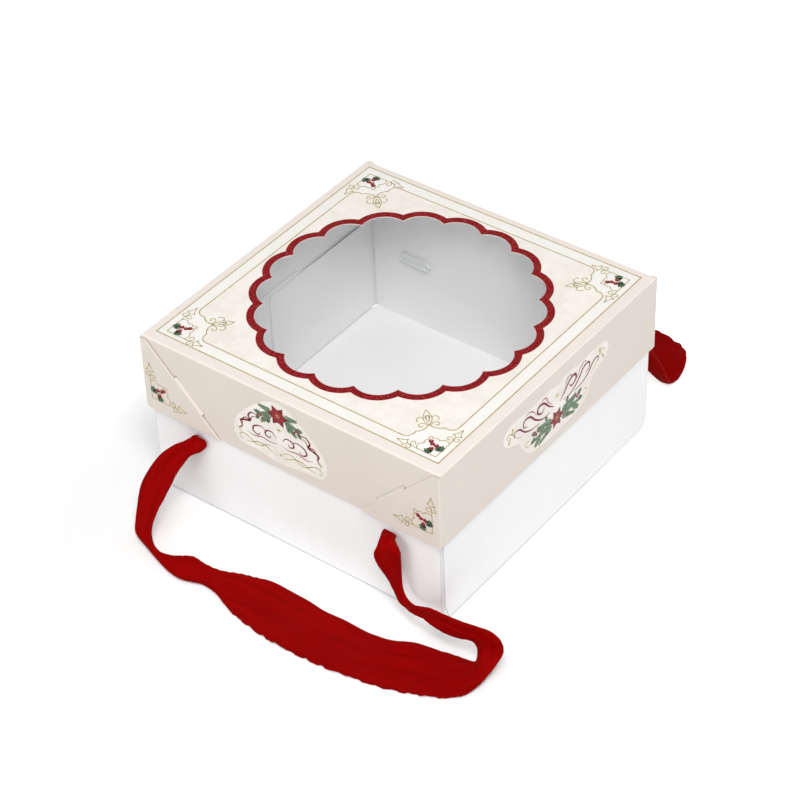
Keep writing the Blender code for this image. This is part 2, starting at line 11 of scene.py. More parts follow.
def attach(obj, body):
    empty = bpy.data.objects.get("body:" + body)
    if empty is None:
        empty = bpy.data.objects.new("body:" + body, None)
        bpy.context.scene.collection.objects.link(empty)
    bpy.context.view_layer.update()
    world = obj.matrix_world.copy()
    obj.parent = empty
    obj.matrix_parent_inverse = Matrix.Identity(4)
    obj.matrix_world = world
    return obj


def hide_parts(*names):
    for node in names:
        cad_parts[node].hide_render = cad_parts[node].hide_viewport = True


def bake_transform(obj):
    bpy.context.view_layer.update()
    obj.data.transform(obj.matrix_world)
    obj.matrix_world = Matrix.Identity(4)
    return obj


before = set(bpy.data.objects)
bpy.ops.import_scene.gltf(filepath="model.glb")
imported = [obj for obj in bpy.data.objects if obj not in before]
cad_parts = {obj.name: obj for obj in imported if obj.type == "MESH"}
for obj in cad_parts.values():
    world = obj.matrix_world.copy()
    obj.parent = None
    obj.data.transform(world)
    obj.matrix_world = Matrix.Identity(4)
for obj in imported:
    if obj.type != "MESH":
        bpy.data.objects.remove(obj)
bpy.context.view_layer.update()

MM = 0.001

# Sizes of the box
LID_FACE = 0.125
WEB_FACE = 0.12661
LID_TOP = 0.131
LID_RIM = 0.0698
LID_FOLD_RADIUS = 0.00145
TRAY_FACE = 0.1234
TRAY_FOLD_START = 0.1211
SCALLOP_COUNT = 20
SCALLOP_CENTRE_RADIUS = 0.0817
SCALLOP_ARC_RADIUS = 0.0181
SCALLOP_STEPS = 14
WINDOW_SHIFT = (-0.0026, 0.0032)

# Print on the lid, which sits a little off the middle
PRINT_SHIFT = (-0.0008, 0.0013)
EMBLEM_SHIFT = (-0.0004, 0.0)
BORDER_INSET = 0.0078
EMBLEM_INSET = 0.0132
FLAP_EMBLEM = (0.1185, 0.08)
WINDOW_MARGIN = 0.0002
GLITTER_MARGIN = 0.00015
GLITTER_WIDTH = 0.0054
LINE_WIDTH = 0.00075
EMBLEM_LINE_WIDTH = 0.8 * LINE_WIDTH
FLOURISH_LINE_WIDTH = 0.85 * LINE_WIDTH
MITRE_LIMIT = 2.0
HAIRPIN_TURN = 0.2
STROKE_END_SHARE = 0.25
NO_LENGTH = 1e-9

# How high the layers of print lie over the board
INK_HEIGHT = 0.00003
BORDER_LEVEL = 0.00001
PANEL_LEVEL = 0.00005
LINE_LEVEL = 0.00009
STACK_STEP = 0.000004
GLITTER_HEIGHT = 0.00022


# Points and paths

def smooth_path(points, steps, closed=False):
    """Points along a smooth curve through all the given ones."""
    count = len(points)
    path = []
    for index in range(count if closed else count - 1):
        near = []
        for place in range(index - 1, index + 3):
            near.append(points[place % count if closed else max(0, min(count - 1, place))])
        for step in range(steps):
            path.append(curve_point(near, step / steps))
    if not closed:
        path.append(tuple(points[-1]))
    return path


def curve_point(near, share):
    values = []
    for a, b, c, d in zip(*near):
        bend = 2 * a - 5 * b + 4 * c - d
        turn = 3 * b - a - 3 * c + d
        values.append(b + share * (c - a + share * (bend + share * turn)) / 2)
    return tuple(values)


def arc_points(centre, radius, start, end, steps):
    points = []
    for step in range(steps + 1):
        angle = math.radians(start + (end - start) * step / steps)
        points.append((centre[0] + radius * math.cos(angle), centre[1] + radius * math.sin(angle)))
    return points


def round_outline(centre, radius, sides):
    return arc_points(centre, radius, 0, 360 - 360 / sides, sides - 1)


def turned(points, degrees, centre=(0, 0), scale=1.0):
    c, s = math.cos(math.radians(degrees)) * scale, math.sin(math.radians(degrees)) * scale
    return [(centre[0] + x * c - y * s, centre[1] + x * s + y * c) for x, y in points]


def shifted(points, shift):
    return [(u + shift[0], v + shift[1]) for u, v in points]


def in_mm(points):
    return [(x * MM, y * MM) for x, y in points]


def scallop_outline(offset):
    """The window's scalloped edge, moved outwards by an offset."""
    half_pitch = math.pi / SCALLOP_COUNT
    radius = SCALLOP_ARC_RADIUS + offset
    half_chord = SCALLOP_CENTRE_RADIUS * math.sin(half_pitch)
    cusp = SCALLOP_CENTRE_RADIUS * math.cos(half_pitch) + math.sqrt(radius**2 - half_chord**2)
    half_sweep = math.atan2(cusp * math.sin(half_pitch), cusp * math.cos(half_pitch) - SCALLOP_CENTRE_RADIUS)
    points = []
    for scallop in range(SCALLOP_COUNT):
        turn = (2 * scallop + 1) * half_pitch
        for step in range(SCALLOP_STEPS):
            angle = turn + half_sweep * (2 * step / SCALLOP_STEPS - 1)
            x = SCALLOP_CENTRE_RADIUS * math.cos(turn) + radius * math.cos(angle)
            y = SCALLOP_CENTRE_RADIUS * math.sin(turn) + radius * math.sin(angle)
            points.append((x, y))
    return shifted(points, WINDOW_SHIFT)


# Print as thin closed solids

def on_top(u, v, level):
    return Vector((u, v, LID_TOP + level))


def on_wall(right, face):
    """Puts print on an upright face; right is the way to the right for someone who looks at it."""
    x, y = right
    return lambda u, v, level: Vector((x * u + y * (face + level), y * u - x * (face + level), v))


def join_loops(bm, near, far):
    for i in range(len(near)):
        j = (i + 1) % len(near)
        bm.faces.new((near[i], near[j], far[j], far[i]))


def add_line(bm, path, width, place, level, closed=False, taper=False):
    """A printed line with mitred corners; a tapered one swells in the middle like a pen stroke."""
    count = len(path)
    rings = []
    for index, point in enumerate(path):
        here = Vector(point)
        before = Vector(path[index - 1] if closed or index else path[0])
        after = Vector(path[(index + 1) % count] if closed else path[min(count - 1, index + 1)])
        ways = [way.normalized() for way in (here - before, after - here) if way.length > NO_LENGTH]
        mean = sum(ways, Vector((0, 0)))
        along = mean.normalized() if mean.length > HAIRPIN_TURN else ways[-1]
        across = Vector((-along.y, along.x))
        half = width / 2 / max(1 / MITRE_LIMIT, abs(along.dot(ways[-1])))
        if taper:
            half *= STROKE_END_SHARE + (1 - STROKE_END_SHARE) * math.sin(math.pi * index / (count - 1))
        corners = []
        for side, lift in ((-1, 0), (-1, INK_HEIGHT), (1, INK_HEIGHT), (1, 0)):
            corner = here + across * side * half
            corners.append(bm.verts.new(place(corner.x, corner.y, level + lift)))
        rings.append(corners)
    for near, far in zip(rings, rings[1:]):
        join_loops(bm, near, far)
    if closed:
        join_loops(bm, rings[-1], rings[0])
    else:
        bm.faces.new(rings[0])
        bm.faces.new(rings[-1])


def add_patch(bm, outline, place, level):
    """A filled printed shape."""
    low = [bm.verts.new(place(u, v, level)) for u, v in outline]
    high = [bm.verts.new(place(u, v, level + INK_HEIGHT)) for u, v in outline]
    bm.faces.new(high)
    bm.faces.new(low)
    join_loops(bm, low, high)


def add_pierced_patch(bm, outline, hole, place, level):
    """A filled printed shape with a hole in it."""
    layers = []
    for lift in (0, INK_HEIGHT):
        edges = []
        loops = []
        for loop in (outline, hole):
            verts = [bm.verts.new(place(u, v, level + lift)) for u, v in loop]
            edges += [bm.edges.new((a, b)) for a, b in zip(verts, verts[1:] + verts[:1])]
            loops.append(verts)
        bmesh.ops.triangle_fill(bm, use_beauty=True, use_dissolve=False, edges=edges)
        layers.append(loops)
    for low, high in zip(*layers):
        join_loops(bm, low, high)


def add_object(name, data):
    made = bpy.data.objects.new(name, data)
    bpy.context.scene.collection.objects.link(made)
    return made


def add_mesh(name, bm, material):
    mesh = bpy.data.meshes.new(name)
    bm.to_mesh(mesh)
    bm.free()
    mesh.materials.append(material)
    return add_object(name, mesh)


def finish_piece(name, bm, material, body, smooth_degrees=None):
    bmesh.ops.recalc_face_normals(bm, faces=bm.faces)
    piece = add_mesh(name, bm, material)
    if smooth_degrees is not None:
        piece.data.shade_smooth()
        piece.data.set_sharp_from_angle(angle=math.radians(smooth_degrees))
    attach(piece, body)


# Nodes

def tint(*levels):
    """The light in a colour that is given as it shows on a screen."""
    values = []
    for level in levels:
        share = level / 255
        values.append(share / 12.92 if share <= 0.04045 else ((share + 0.055) / 1.055) ** 2.4)
    return (*values, 1.0)


def feed(tree, socket, value):
    """Links a value that comes from a node and sets any other."""
    if isinstance(value, bpy.types.NodeSocket):
        tree.links.new(value, socket)
    else:
        socket.default_value = tint(*value) if socket.type == "RGBA" else value


def add_node(tree, kind, inputs=None, **settings):
    """Adds a node, sets or links its inputs, and returns its outputs."""
    made = tree.nodes.new(kind)
    for name, value in settings.items():
        setattr(made, name, value)
    for key, value in (inputs or {}).items():
        feed(tree, made.inputs[key], value)
    return made.outputs


def maths(tree, operation, *values):
    return add_node(tree, "ShaderNodeMath", dict(enumerate(values)), operation=operation)[0]


def times(tree, first, second):
    return maths(tree, "MULTIPLY", first, second)


def plus(tree, first, second):
    return maths(tree, "ADD", first, second)


def minus(tree, first, second):
    return maths(tree, "SUBTRACT", first, second)


def vectors(tree, operation, *values, output="Vector"):
    return add_node(tree, "ShaderNodeVectorMath", dict(enumerate(values)), operation=operation)[output]


def scaled(tree, vector, scale):
    return add_node(tree, "ShaderNodeVectorMath", {0: vector, "Scale": scale}, operation="SCALE")[0]


def between(tree, value, low, high):
    """Rises smoothly from 0 at low to 1 at high."""
    inputs = {"Value": value, "From Min": low, "From Max": high}
    return add_node(tree, "ShaderNodeMapRange", inputs, interpolation_type="SMOOTHSTEP")[0]


def noise(tree, place, scale, detail=2.0):
    return add_node(tree, "ShaderNodeTexNoise", {"Vector": place, "Scale": scale, "Detail": detail})[0]


def bands(tree, place, direction, scale, distortion, detail):
    """Wavy parallel bands."""
    inputs = {"Vector": place, "Scale": scale, "Distortion": distortion, "Detail": detail}
    return add_node(tree, "ShaderNodeTexWave", inputs, bands_direction=direction)[1]


def mix(tree, factor, low, high):
    """A colour between two others, each from a node or as it shows on a screen, from 0 to 255."""
    return add_node(tree, "ShaderNodeMix", {0: factor, 6: low, 7: high}, data_type="RGBA")[2]


def object_position(tree):
    return add_node(tree, "ShaderNodeTexCoord")["Object"]


def facing(tree):
    return add_node(tree, "ShaderNodeNewGeometry")["Normal"]


def unsigned(tree, vector):
    """A vector's x and y without their signs, and its z."""
    x, y, z = add_node(tree, "ShaderNodeSeparateXYZ", {0: vector})
    return maths(tree, "ABSOLUTE", x), maths(tree, "ABSOLUTE", y), z


def seen_rays(tree):
    """1 on rays that come from the camera, straight, mirrored or through the film."""
    path = add_node(tree, "ShaderNodeLightPath")
    seen = maths(tree, "MAXIMUM", path["Is Camera Ray"], path["Is Glossy Ray"])
    return maths(tree, "MAXIMUM", seen, path["Is Transmission Ray"])


def new_material(name, **constants):
    material = bpy.data.materials.new(name)
    material.use_nodes = True
    tree = material.node_tree
    shader = tree.nodes["Principled BSDF"]
    for label, value in constants.items():
        shader.inputs[label.replace("_", " ")].default_value = value
    return material, tree, shader


def paint(tree, shader, colour):
    tree.links.new(colour, shader.inputs["Base Color"])


def add_bump(tree, shader, height, distance, strength):
    bump = add_node(tree, "ShaderNodeBump", {"Height": height, "Distance": distance, "Strength": strength})
    tree.links.new(bump[0], shader.inputs["Normal"])


# Effects that materials share, each worked out from a position and some numbers

FLAKE_BRANCH_ANGLE = math.pi / 3
FLAKE_BRANCHES = ((0.35, 0.28), (0.62, 0.22))
DULL_GLITTER_SHARE = 0.88


def start_effect(name, *numbers):
    group = bpy.data.node_groups.new(name, "ShaderNodeTree")
    group.interface.new_socket("Position", in_out="INPUT", socket_type="NodeSocketVector")
    for label in numbers:
        group.interface.new_socket(label, in_out="INPUT", socket_type="NodeSocketFloat")
    given = group.nodes.new("NodeGroupInput").outputs
    return group, *given[:len(numbers) + 1]


def end_effect(group, **results):
    for label, value in results.items():
        kind = "NodeSocketVector" if value.type == "VECTOR" else "NodeSocketFloat"
        group.interface.new_socket(label, in_out="OUTPUT", socket_type=kind)
    taken = group.nodes.new("NodeGroupOutput").inputs
    for label, value in results.items():
        group.links.new(value, taken[label])
    return group


def use_effect(tree, group, **inputs):
    return add_node(tree, "ShaderNodeGroup", inputs, node_tree=group)


def make_board_grain():
    """Fine mottle and fibres of coated board: a tone about 0.5 and a height."""
    group, position, grain, cloud = start_effect("board_grain", "Grain", "Cloud")
    fine_scale = maths(group, "DIVIDE", 1.0, grain)
    fine = noise(group, position, fine_scale, 4.0)
    clouds = noise(group, position, maths(group, "DIVIDE", 1.0, cloud), 3.0)
    stretched = vectors(group, "MULTIPLY", position, (1.0, 5.0, 2.0))
    fibre = noise(group, stretched, times(group, fine_scale, 0.3))
    height = plus(group, times(group, fine, 0.6), times(group, fibre, 0.4))
    tone = plus(group, times(group, clouds, 0.6), times(group, height, 0.4))
    return end_effect(group, Tone=tone, Height=height)


def make_snowflakes():
    """Scattered six-armed flakes with side branches: a mask that is 1 on the flakes."""
    group, position, spacing, arm, line = start_effect("snowflakes", "Spacing", "Arm", "Line")
    place = scaled(group, position, maths(group, "DIVIDE", 1.0, spacing))
    inputs = {"Vector": place, "Scale": 1.0, "Randomness": 0.55}
    cells = add_node(group, "ShaderNodeTexVoronoi", inputs, voronoi_dimensions="2D")
    away = vectors(group, "SUBTRACT", place, cells["Position"])
    x, y, _ = add_node(group, "ShaderNodeSeparateXYZ", {0: away})
    turn_luck, size_luck, _ = add_node(group, "ShaderNodeSeparateColor", {0: cells["Color"]})
    reach = maths(group, "SQRT", plus(group, times(group, x, x), times(group, y, y)))
    angle = plus(group, maths(group, "ARCTAN2", y, x), times(group, turn_luck, math.tau))
    folded = maths(group, "PINGPONG", angle, math.pi / 6)
    along = times(group, reach, maths(group, "COSINE", folded))
    aside = times(group, reach, maths(group, "SINE", folded))
    size = times(group, arm, plus(group, times(group, size_luck, 0.5), 0.55))
    half_line = times(group, line, 0.5)
    mask = maths(group, "LESS_THAN", aside, half_line)
    for start, length in FLAKE_BRANCHES:
        rise = times(group, minus(group, along, times(group, size, start)), math.sin(FLAKE_BRANCH_ANGLE))
        off_line = minus(group, rise, times(group, aside, math.cos(FLAKE_BRANCH_ANGLE)))
        near = maths(group, "LESS_THAN", maths(group, "ABSOLUTE", off_line), half_line)
        short = maths(group, "LESS_THAN", aside, times(group, size, length))
        mask = maths(group, "MAXIMUM", mask, times(group, near, short))
    return end_effect(group, Mask=times(group, mask, maths(group, "LESS_THAN", along, size)))


def make_glitter():
    """Tiny flakes that each lie at their own tilt: a tone, a mask of flakes that get a painted glint, and a
    normal.
    """
    group, position, flake, tilt = start_effect("glitter", "Flake", "Tilt")
    inputs = {"Vector": position, "Scale": maths(group, "DIVIDE", 1.0, flake)}
    colour = add_node(group, "ShaderNodeTexVoronoi", inputs)["Color"]
    tone, luck, _ = add_node(group, "ShaderNodeSeparateColor", {0: colour})
    lean = scaled(group, vectors(group, "SUBTRACT", colour, (0.5, 0.5, 0.5)), tilt)
    normal = vectors(group, "NORMALIZE", vectors(group, "ADD", facing(group), lean))
    painted_glint = maths(group, "GREATER_THAN", luck, DULL_GLITTER_SHARE)
    return end_effect(group, Tone=tone, Sparkle=painted_glint, Normal=normal)


def make_ink_wear():
    """Slight unevenness of foil and ink at a given size."""
    group, position, size = start_effect("ink_wear", "Size")
    uneven = noise(group, position, maths(group, "DIVIDE", 1.0, size), 3.0)
    return end_effect(group, Tone=between(group, uneven, 0.3, 0.7))


board_grain = make_board_grain()
snowflakes = make_snowflakes()
glitter = make_glitter()
ink_wear = make_ink_wear()


# Materials

# How deep the lid's print and its white cut edge go, where the walls' painted shade fades into the top's
# cream, and how high the tray's painted shade line along its bottom edge reaches
PRINTED_DEPTH = 0.00045
CUT_EDGE = 0.0001
WALL_SHADE_FADE = (0.0012, 0.00002)
TRAY_WALL_DEPTH = 0.0012
TRAY_SHADE_LINE_HEIGHT = 0.0008

# Each ink's darkest and lightest tone and the size of its unevenness
INKS = (
    ("berry", (116, 8, 18), (146, 20, 30), 0.0015),
    ("pale", (224, 160, 156), (236, 186, 182), 0.004),
    ("leaf", (48, 78, 58), (82, 110, 84), 0.002),
    ("sprig", (112, 140, 108), (150, 172, 140), 0.002),
    ("petal", (128, 14, 24), (160, 34, 42), 0.0012),
    ("crimson", (96, 8, 18), (128, 18, 28), 0.002),
    ("pale_ground", (236, 229, 220), (246, 241, 233), 0.012),
)


def white_board():
    """Coated white board with painted shade: grey on its outer upright corner folds and in its inner corners,
    and a grey painted shade line along the bottom edge it stands on.
    """
    material, tree, shader = new_material("white_board", Roughness=0.55, Specular_IOR_Level=0.35)
    position = object_position(tree)
    tone, relief = use_effect(tree, board_grain, Position=position, Grain=0.0007, Cloud=0.03)
    x, y, height = unsigned(tree, position)
    normal = facing(tree)
    away = vectors(tree, "DOT_PRODUCT", normal, position, output="Value")
    outside = maths(tree, "GREATER_THAN", away, 0.0)
    # Painted shade: grey on the outer upright corner folds, and through bend in the inner corners where the
    # walls turn
    corner = maths(tree, "GREATER_THAN", maths(tree, "MINIMUM", x, y), TRAY_FOLD_START)
    across, along, _ = unsigned(tree, normal)
    bend = times(tree, times(tree, across, along), 2.0)
    fold_shade = plus(tree, times(tree, outside, corner), times(tree, minus(tree, 1.0, outside), bend))
    # A painted shade line: the outer walls are grey along their bottom edge, where the tray meets the floor
    wall = maths(tree, "GREATER_THAN", maths(tree, "MAXIMUM", x, y), TRAY_FACE - TRAY_WALL_DEPTH)
    low = maths(tree, "LESS_THAN", height, TRAY_SHADE_LINE_HEIGHT)
    crease = times(tree, times(tree, outside, wall), low)
    plain = mix(tree, tone, (243, 243, 243), (251, 251, 251))
    # folded carries the painted shade of the folds and corners; crease adds the painted shade line at the
    # bottom
    folded = mix(tree, fold_shade, plain, (222, 222, 224))
    paint(tree, shader, mix(tree, crease, folded, (150, 150, 152)))
    add_bump(tree, shader, relief, 0.00003, 0.4)
    return material


def printed_board():
    """A cream print with painted shade that makes the walls darker than the top; the board is bare white
    inside and along its lower cut edges.
    """
    coat = {"Coat_Weight": 0.06, "Coat_Roughness": 0.35}
    material, tree, shader = new_material("printed_board", Roughness=0.5, **coat)
    position = object_position(tree)
    tone, relief = use_effect(tree, board_grain, Position=position, Grain=0.0006, Cloud=0.045)
    x, y, height = unsigned(tree, position)
    sides = minus(tree, maths(tree, "MAXIMUM", x, y), LID_FACE - PRINTED_DEPTH)
    top = minus(tree, height, LID_TOP - PRINTED_DEPTH)
    printed = maths(tree, "GREATER_THAN", maths(tree, "MAXIMUM", sides, top), 0.0)
    above_rim = maths(tree, "GREATER_THAN", height, LID_RIM + CUT_EDGE)
    cream = mix(tree, tone, (238, 228, 219), (245, 235, 227))
    # Painted shade: the walls are a darker copy of the top's cream, which fades into the cream just under the
    # top
    wall = mix(tree, tone, (217, 207, 197), (229, 219, 209))
    upper = between(tree, height, *(LID_TOP - depth for depth in WALL_SHADE_FADE))
    bare = mix(tree, tone, (240, 240, 240), (249, 249, 249))
    paint(tree, shader, mix(tree, times(tree, printed, above_rim), bare, mix(tree, upper, wall, cream)))
    add_bump(tree, shader, relief, 0.00003, 0.35)
    return material


def worn_material(name, dark, light, size, **constants):
    """One colour, slightly uneven at a given size."""
    material, tree, shader = new_material(name, **constants)
    tone = use_effect(tree, ink_wear, Position=object_position(tree), Size=size)["Tone"]
    paint(tree, shader, mix(tree, tone, dark, light))
    return material, tree, shader


def ink(name, dark, light, size, roughness=0.45):
    return worn_material(name, dark, light, size, Roughness=roughness, Specular_IOR_Level=0.3)[0]


def gold_foil():
    return worn_material("gold_foil", (160, 141, 78), (188, 170, 110), 0.003, Metallic=0.4, Roughness=0.42)[0]


def white_plastic():
    dark, light = (228, 230, 232), (238, 239, 240)
    material, tree, shader = worn_material("white_plastic", dark, light, 0.0015, Roughness=0.34)
    add_bump(tree, shader, noise(tree, object_position(tree), 2500.0), 0.00002, 0.3)
    return material


def panel_ink():
    """The inner panel: warm grey-cream with pale snowflakes."""
    material, tree, shader = new_material("panel_print", Roughness=0.42, Coat_Weight=0.12, Coat_Roughness=0.3)
    position = object_position(tree)
    tone = use_effect(tree, ink_wear, Position=position, Size=0.02)["Tone"]
    ground = mix(tree, tone, (243, 235, 225), (250, 243, 234))
    big = use_effect(tree, snowflakes, Position=position, Spacing=0.021, Arm=0.42, Line=0.04)["Mask"]
    moved = vectors(tree, "ADD", position, (0.31, 0.17, 0.0))
    small = use_effect(tree, snowflakes, Position=moved, Spacing=0.011, Arm=0.4, Line=0.06)["Mask"]
    mask = maths(tree, "MAXIMUM", big, times(tree, small, 0.6))
    paint(tree, shader, mix(tree, times(tree, mask, 0.5), ground, (255, 252, 247)))
    return material


def red_glitter():
    material, tree, shader = new_material("red_glitter", Roughness=0.55, Specular_IOR_Level=0.08)
    effect = use_effect(tree, glitter, Position=object_position(tree), Flake=0.00045, Tilt=0.7)
    red = mix(tree, effect["Tone"], (100, 4, 12), (154, 18, 24))
    # Painted glint: the flakes in the mask are painted a light pink
    paint(tree, shader, mix(tree, effect["Sparkle"], red, (198, 74, 76)))
    tree.links.new(effect["Normal"], shader.inputs["Normal"])
    return material


def clear_film():
    """Thin clear film with a slow ripple; it shows most where it is seen at a slant."""
    material, tree, shader = new_material("clear_film", Roughness=0.06, Specular_IOR_Level=0.5)
    ripple = noise(tree, object_position(tree), 22.0, 1.5)
    slant = maths(tree, "POWER", add_node(tree, "ShaderNodeLayerWeight", {"Blend": 0.5})["Facing"], 3.0)
    paint(tree, shader, mix(tree, ripple, (238, 242, 245), (252, 253, 254)))
    tree.links.new(plus(tree, times(tree, slant, 0.3), 0.012), shader.inputs["Alpha"])
    add_bump(tree, shader, ripple, 0.0006, 0.5)
    return material


def red_satin():
    """Fine cross ribs, soft streaks and slanted creases darkened with painted shade; the UV is in metres,
    across and along the ribbon.
    """
    material, tree, shader = new_material("red_satin", Roughness=0.55, Specular_IOR_Level=0.02)
    place = add_node(tree, "ShaderNodeTexCoord")["UV"]
    ribs = bands(tree, place, "Y", 380.0, 0.6, 1.0)
    threads = bands(tree, place, "X", 520.0, 0.3, 2.0)
    weave = plus(tree, times(tree, ribs, 0.7), times(tree, threads, 0.3))
    streaks = noise(tree, vectors(tree, "MULTIPLY", place, (260.0, 18.0, 1.0)), 1.0, 3.0)
    thread_tone = plus(tree, times(tree, streaks, 0.75), times(tree, weave, 0.25))
    plain = mix(tree, between(tree, thread_tone, 0.25, 0.75), (130, 1, 1), (149, 4, 3))
    slanted = vectors(tree, "MULTIPLY", place, (1.5, 0.6, 1.0))
    lines = between(tree, bands(tree, slanted, "DIAGONAL", 100.0, 2.2, 1.0), 0.8, 1.0)
    patches = noise(tree, vectors(tree, "MULTIPLY", place, (45.0, 22.0, 1.0)), 1.0)
    creases = times(tree, lines, between(tree, patches, 0.52, 0.66))
    # Painted shade: the crease lines are painted darker as well as sunk by the bump
    paint(tree, shader, mix(tree, times(tree, creases, 0.5), plain, (110, 1, 2)))
    raised = plus(tree, weave, times(tree, streaks, 2.0))
    add_bump(tree, shader, minus(tree, raised, times(tree, creases, 3.0)), 0.00006, 0.6)
    return material


# Camera, floor and light

CAMERA_PLACE = (0.8161216, -1.0345728, 1.1482)
CAMERA_RIGHT = (0.79851, 0.60124, -0.02973)
CAMERA_DOWN = (0.36751, -0.52602, -0.76697)
CAMERA_AHEAD = (-0.47678, 0.60151, -0.64099)
CAMERA_LENS = 110.63
SENSOR_WIDTH = 36
FLOOR_HALF_SIZE = 12
FLOOR_GLOW = 0.1
FLOOR_FAR_GLOW = 0.65
FLOOR_SHADE_CENTRE = (0.04, -0.17, 0.0)
FLOOR_SHADE_REACH = (0.17, 0.46)
SKY_LIGHT = 0.3
LAMPS = (
    ("key", 26.0, 0.9, (0.74, -0.86, 1.86)),
    ("overhead", 5.0, 0.8, (-0.12, -0.12, 2.0)),
    ("front_fill", 15.0, 1.5, (-0.5, -2.2, 0.3)),
    ("right_fill", 13.0, 1.5, (2.2, 0.2, 0.3)),
)


def set_camera():
    data = bpy.data.cameras.new("camera")
    data.lens = CAMERA_LENS
    data.sensor_width = SENSOR_WIDTH
    camera = add_object("camera", data)
    columns = (Vector(CAMERA_RIGHT), -Vector(CAMERA_DOWN), -Vector(CAMERA_AHEAD))
    turn = Matrix([column.normalized() for column in columns]).transposed().to_4x4()
    camera.matrix_world = Matrix.Translation(CAMERA_PLACE) @ turn
    bpy.context.scene.camera = camera


def floor_paint():
    """White paint that glows more away from the box, so that the floor shows white and keeps the shadows."""
    white = {"Base_Color": (0.9, 0.9, 0.9, 1.0), "Specular_IOR_Level": 0.0}
    material, tree, shader = new_material("floor_paint", Roughness=0.9, **white)
    distance = vectors(tree, "DISTANCE", object_position(tree), FLOOR_SHADE_CENTRE, output="Value")
    far = times(tree, between(tree, distance, *FLOOR_SHADE_REACH), FLOOR_FAR_GLOW)
    strength = times(tree, seen_rays(tree), plus(tree, far, FLOOR_GLOW))
    glow = add_node(tree, "ShaderNodeEmission", {"Strength": strength})[0]
    both = add_node(tree, "ShaderNodeAddShader", {0: shader.outputs[0], 1: glow})[0]
    tree.links.new(both, tree.nodes["Material Output"].inputs["Surface"])
    return material


def lay_floor():
    bm = bmesh.new()
    bmesh.ops.create_grid(bm, x_segments=1, y_segments=1, size=FLOOR_HALF_SIZE)
    floor = add_mesh("floor", bm, floor_paint())


def light_sky():
    """A white sky that gives less light than it shows."""
    world = bpy.data.worlds.new("studio")
    bpy.context.scene.world = world
    world.use_nodes = True
    tree = world.node_tree
    sky = tree.nodes["Background"]
    strength = plus(tree, times(tree, seen_rays(tree), 1 - SKY_LIGHT), SKY_LIGHT)
    tree.links.new(strength, sky.inputs["Strength"])
    sky.inputs["Color"].default_value = (1, 1, 1, 1)


def hang_lamps():
    for name, watts, size, place in LAMPS:
        lamp = bpy.data.lights.new(name, "AREA")
        lamp.energy = watts
        lamp.size = size
        light = add_object(name, lamp)
        light.location = place
        light.rotation_euler = (-Vector(place)).to_track_quat("-Z", "Y").to_euler()


# Ornaments of the print, in millimetres

# Corner lines, drawn for one of the two legs and mirrored for the other
PANEL_CORNER = (
    ((44.6, 17), (41.3, 17.3), (38.9, 19), (37.7, 21.8), (37.7, 24.8)),
    ((37.7, 24.8), (36, 26.3), (34.7, 29), (34.4, 31.8), (34.6, 34.6)),
)
FLOURISH_LINES = (
    ((34.6, 34.6), (37.4, 35.1), (40.5, 36.5), (43.1, 40), (45, 45)),
    ((36.8, 36.8), (39.4, 37.9), (41, 39.6), (40.6, 41.6), (38.9, 40.9), (38.6, 39.4)),
    ((41.6, 37.6), (43.9, 37), (44.4, 34.9), (43.4, 33), (41.9, 32.9)),
    ((34.8, 33.4), (36.4, 33.8), (38.8, 33.3), (40.1, 31.5), (39.1, 29.6), (37.3, 29.9), (37.3, 31.5)),
)
EMBLEM_LINES = (
    ((0, 0), (10, -0.1), (19.2, 0.1), (22.6, 0.5)),
    ((22.6, 0.5), (23.7, 2.2), (24.2, 3.8), (25.8, 2.1), (30.8, 0.5)),
    ((22.6, 0.5), (23.7, -1.2), (24.2, -2.8), (25.8, -1.1), (30.8, 0.5)),
    ((19.2, 0.3), (20.8, 1.3), (21, 3.1), (20, 4.6), (18.3, 4), (18, 2.4), (18.9, 1.9)),
    ((19.4, 0.1), (18.9, -1.4), (19.3, -3), (20.8, -3.3), (21.9, -2.2), (21.4, -1.2)),
    ((15, 0.2), (16.2, 2.2), (16, 4.8), (13.8, 6.8)),
    ((13.8, 6.8), (14.8, 8.2), (14.4, 10.4), (13.2, 11.6)),
    ((13.2, 11.6), (14.4, 12.8), (14.4, 14.4)),
)
EMBLEM_BERRIES = ((11.2, 10.6, 1.75), (9, 8.9, 1.65), (5.7, 8.7, 1.75), (7, 4.9, 1.7))
EMBLEM_LEAVES = ((1.2, 4.8, 82, 6.8), (4.4, 4.6, 118, 5.6), (4.4, 1.4, 8, 6.8), (4.6, 4.2, -22, 5.6))

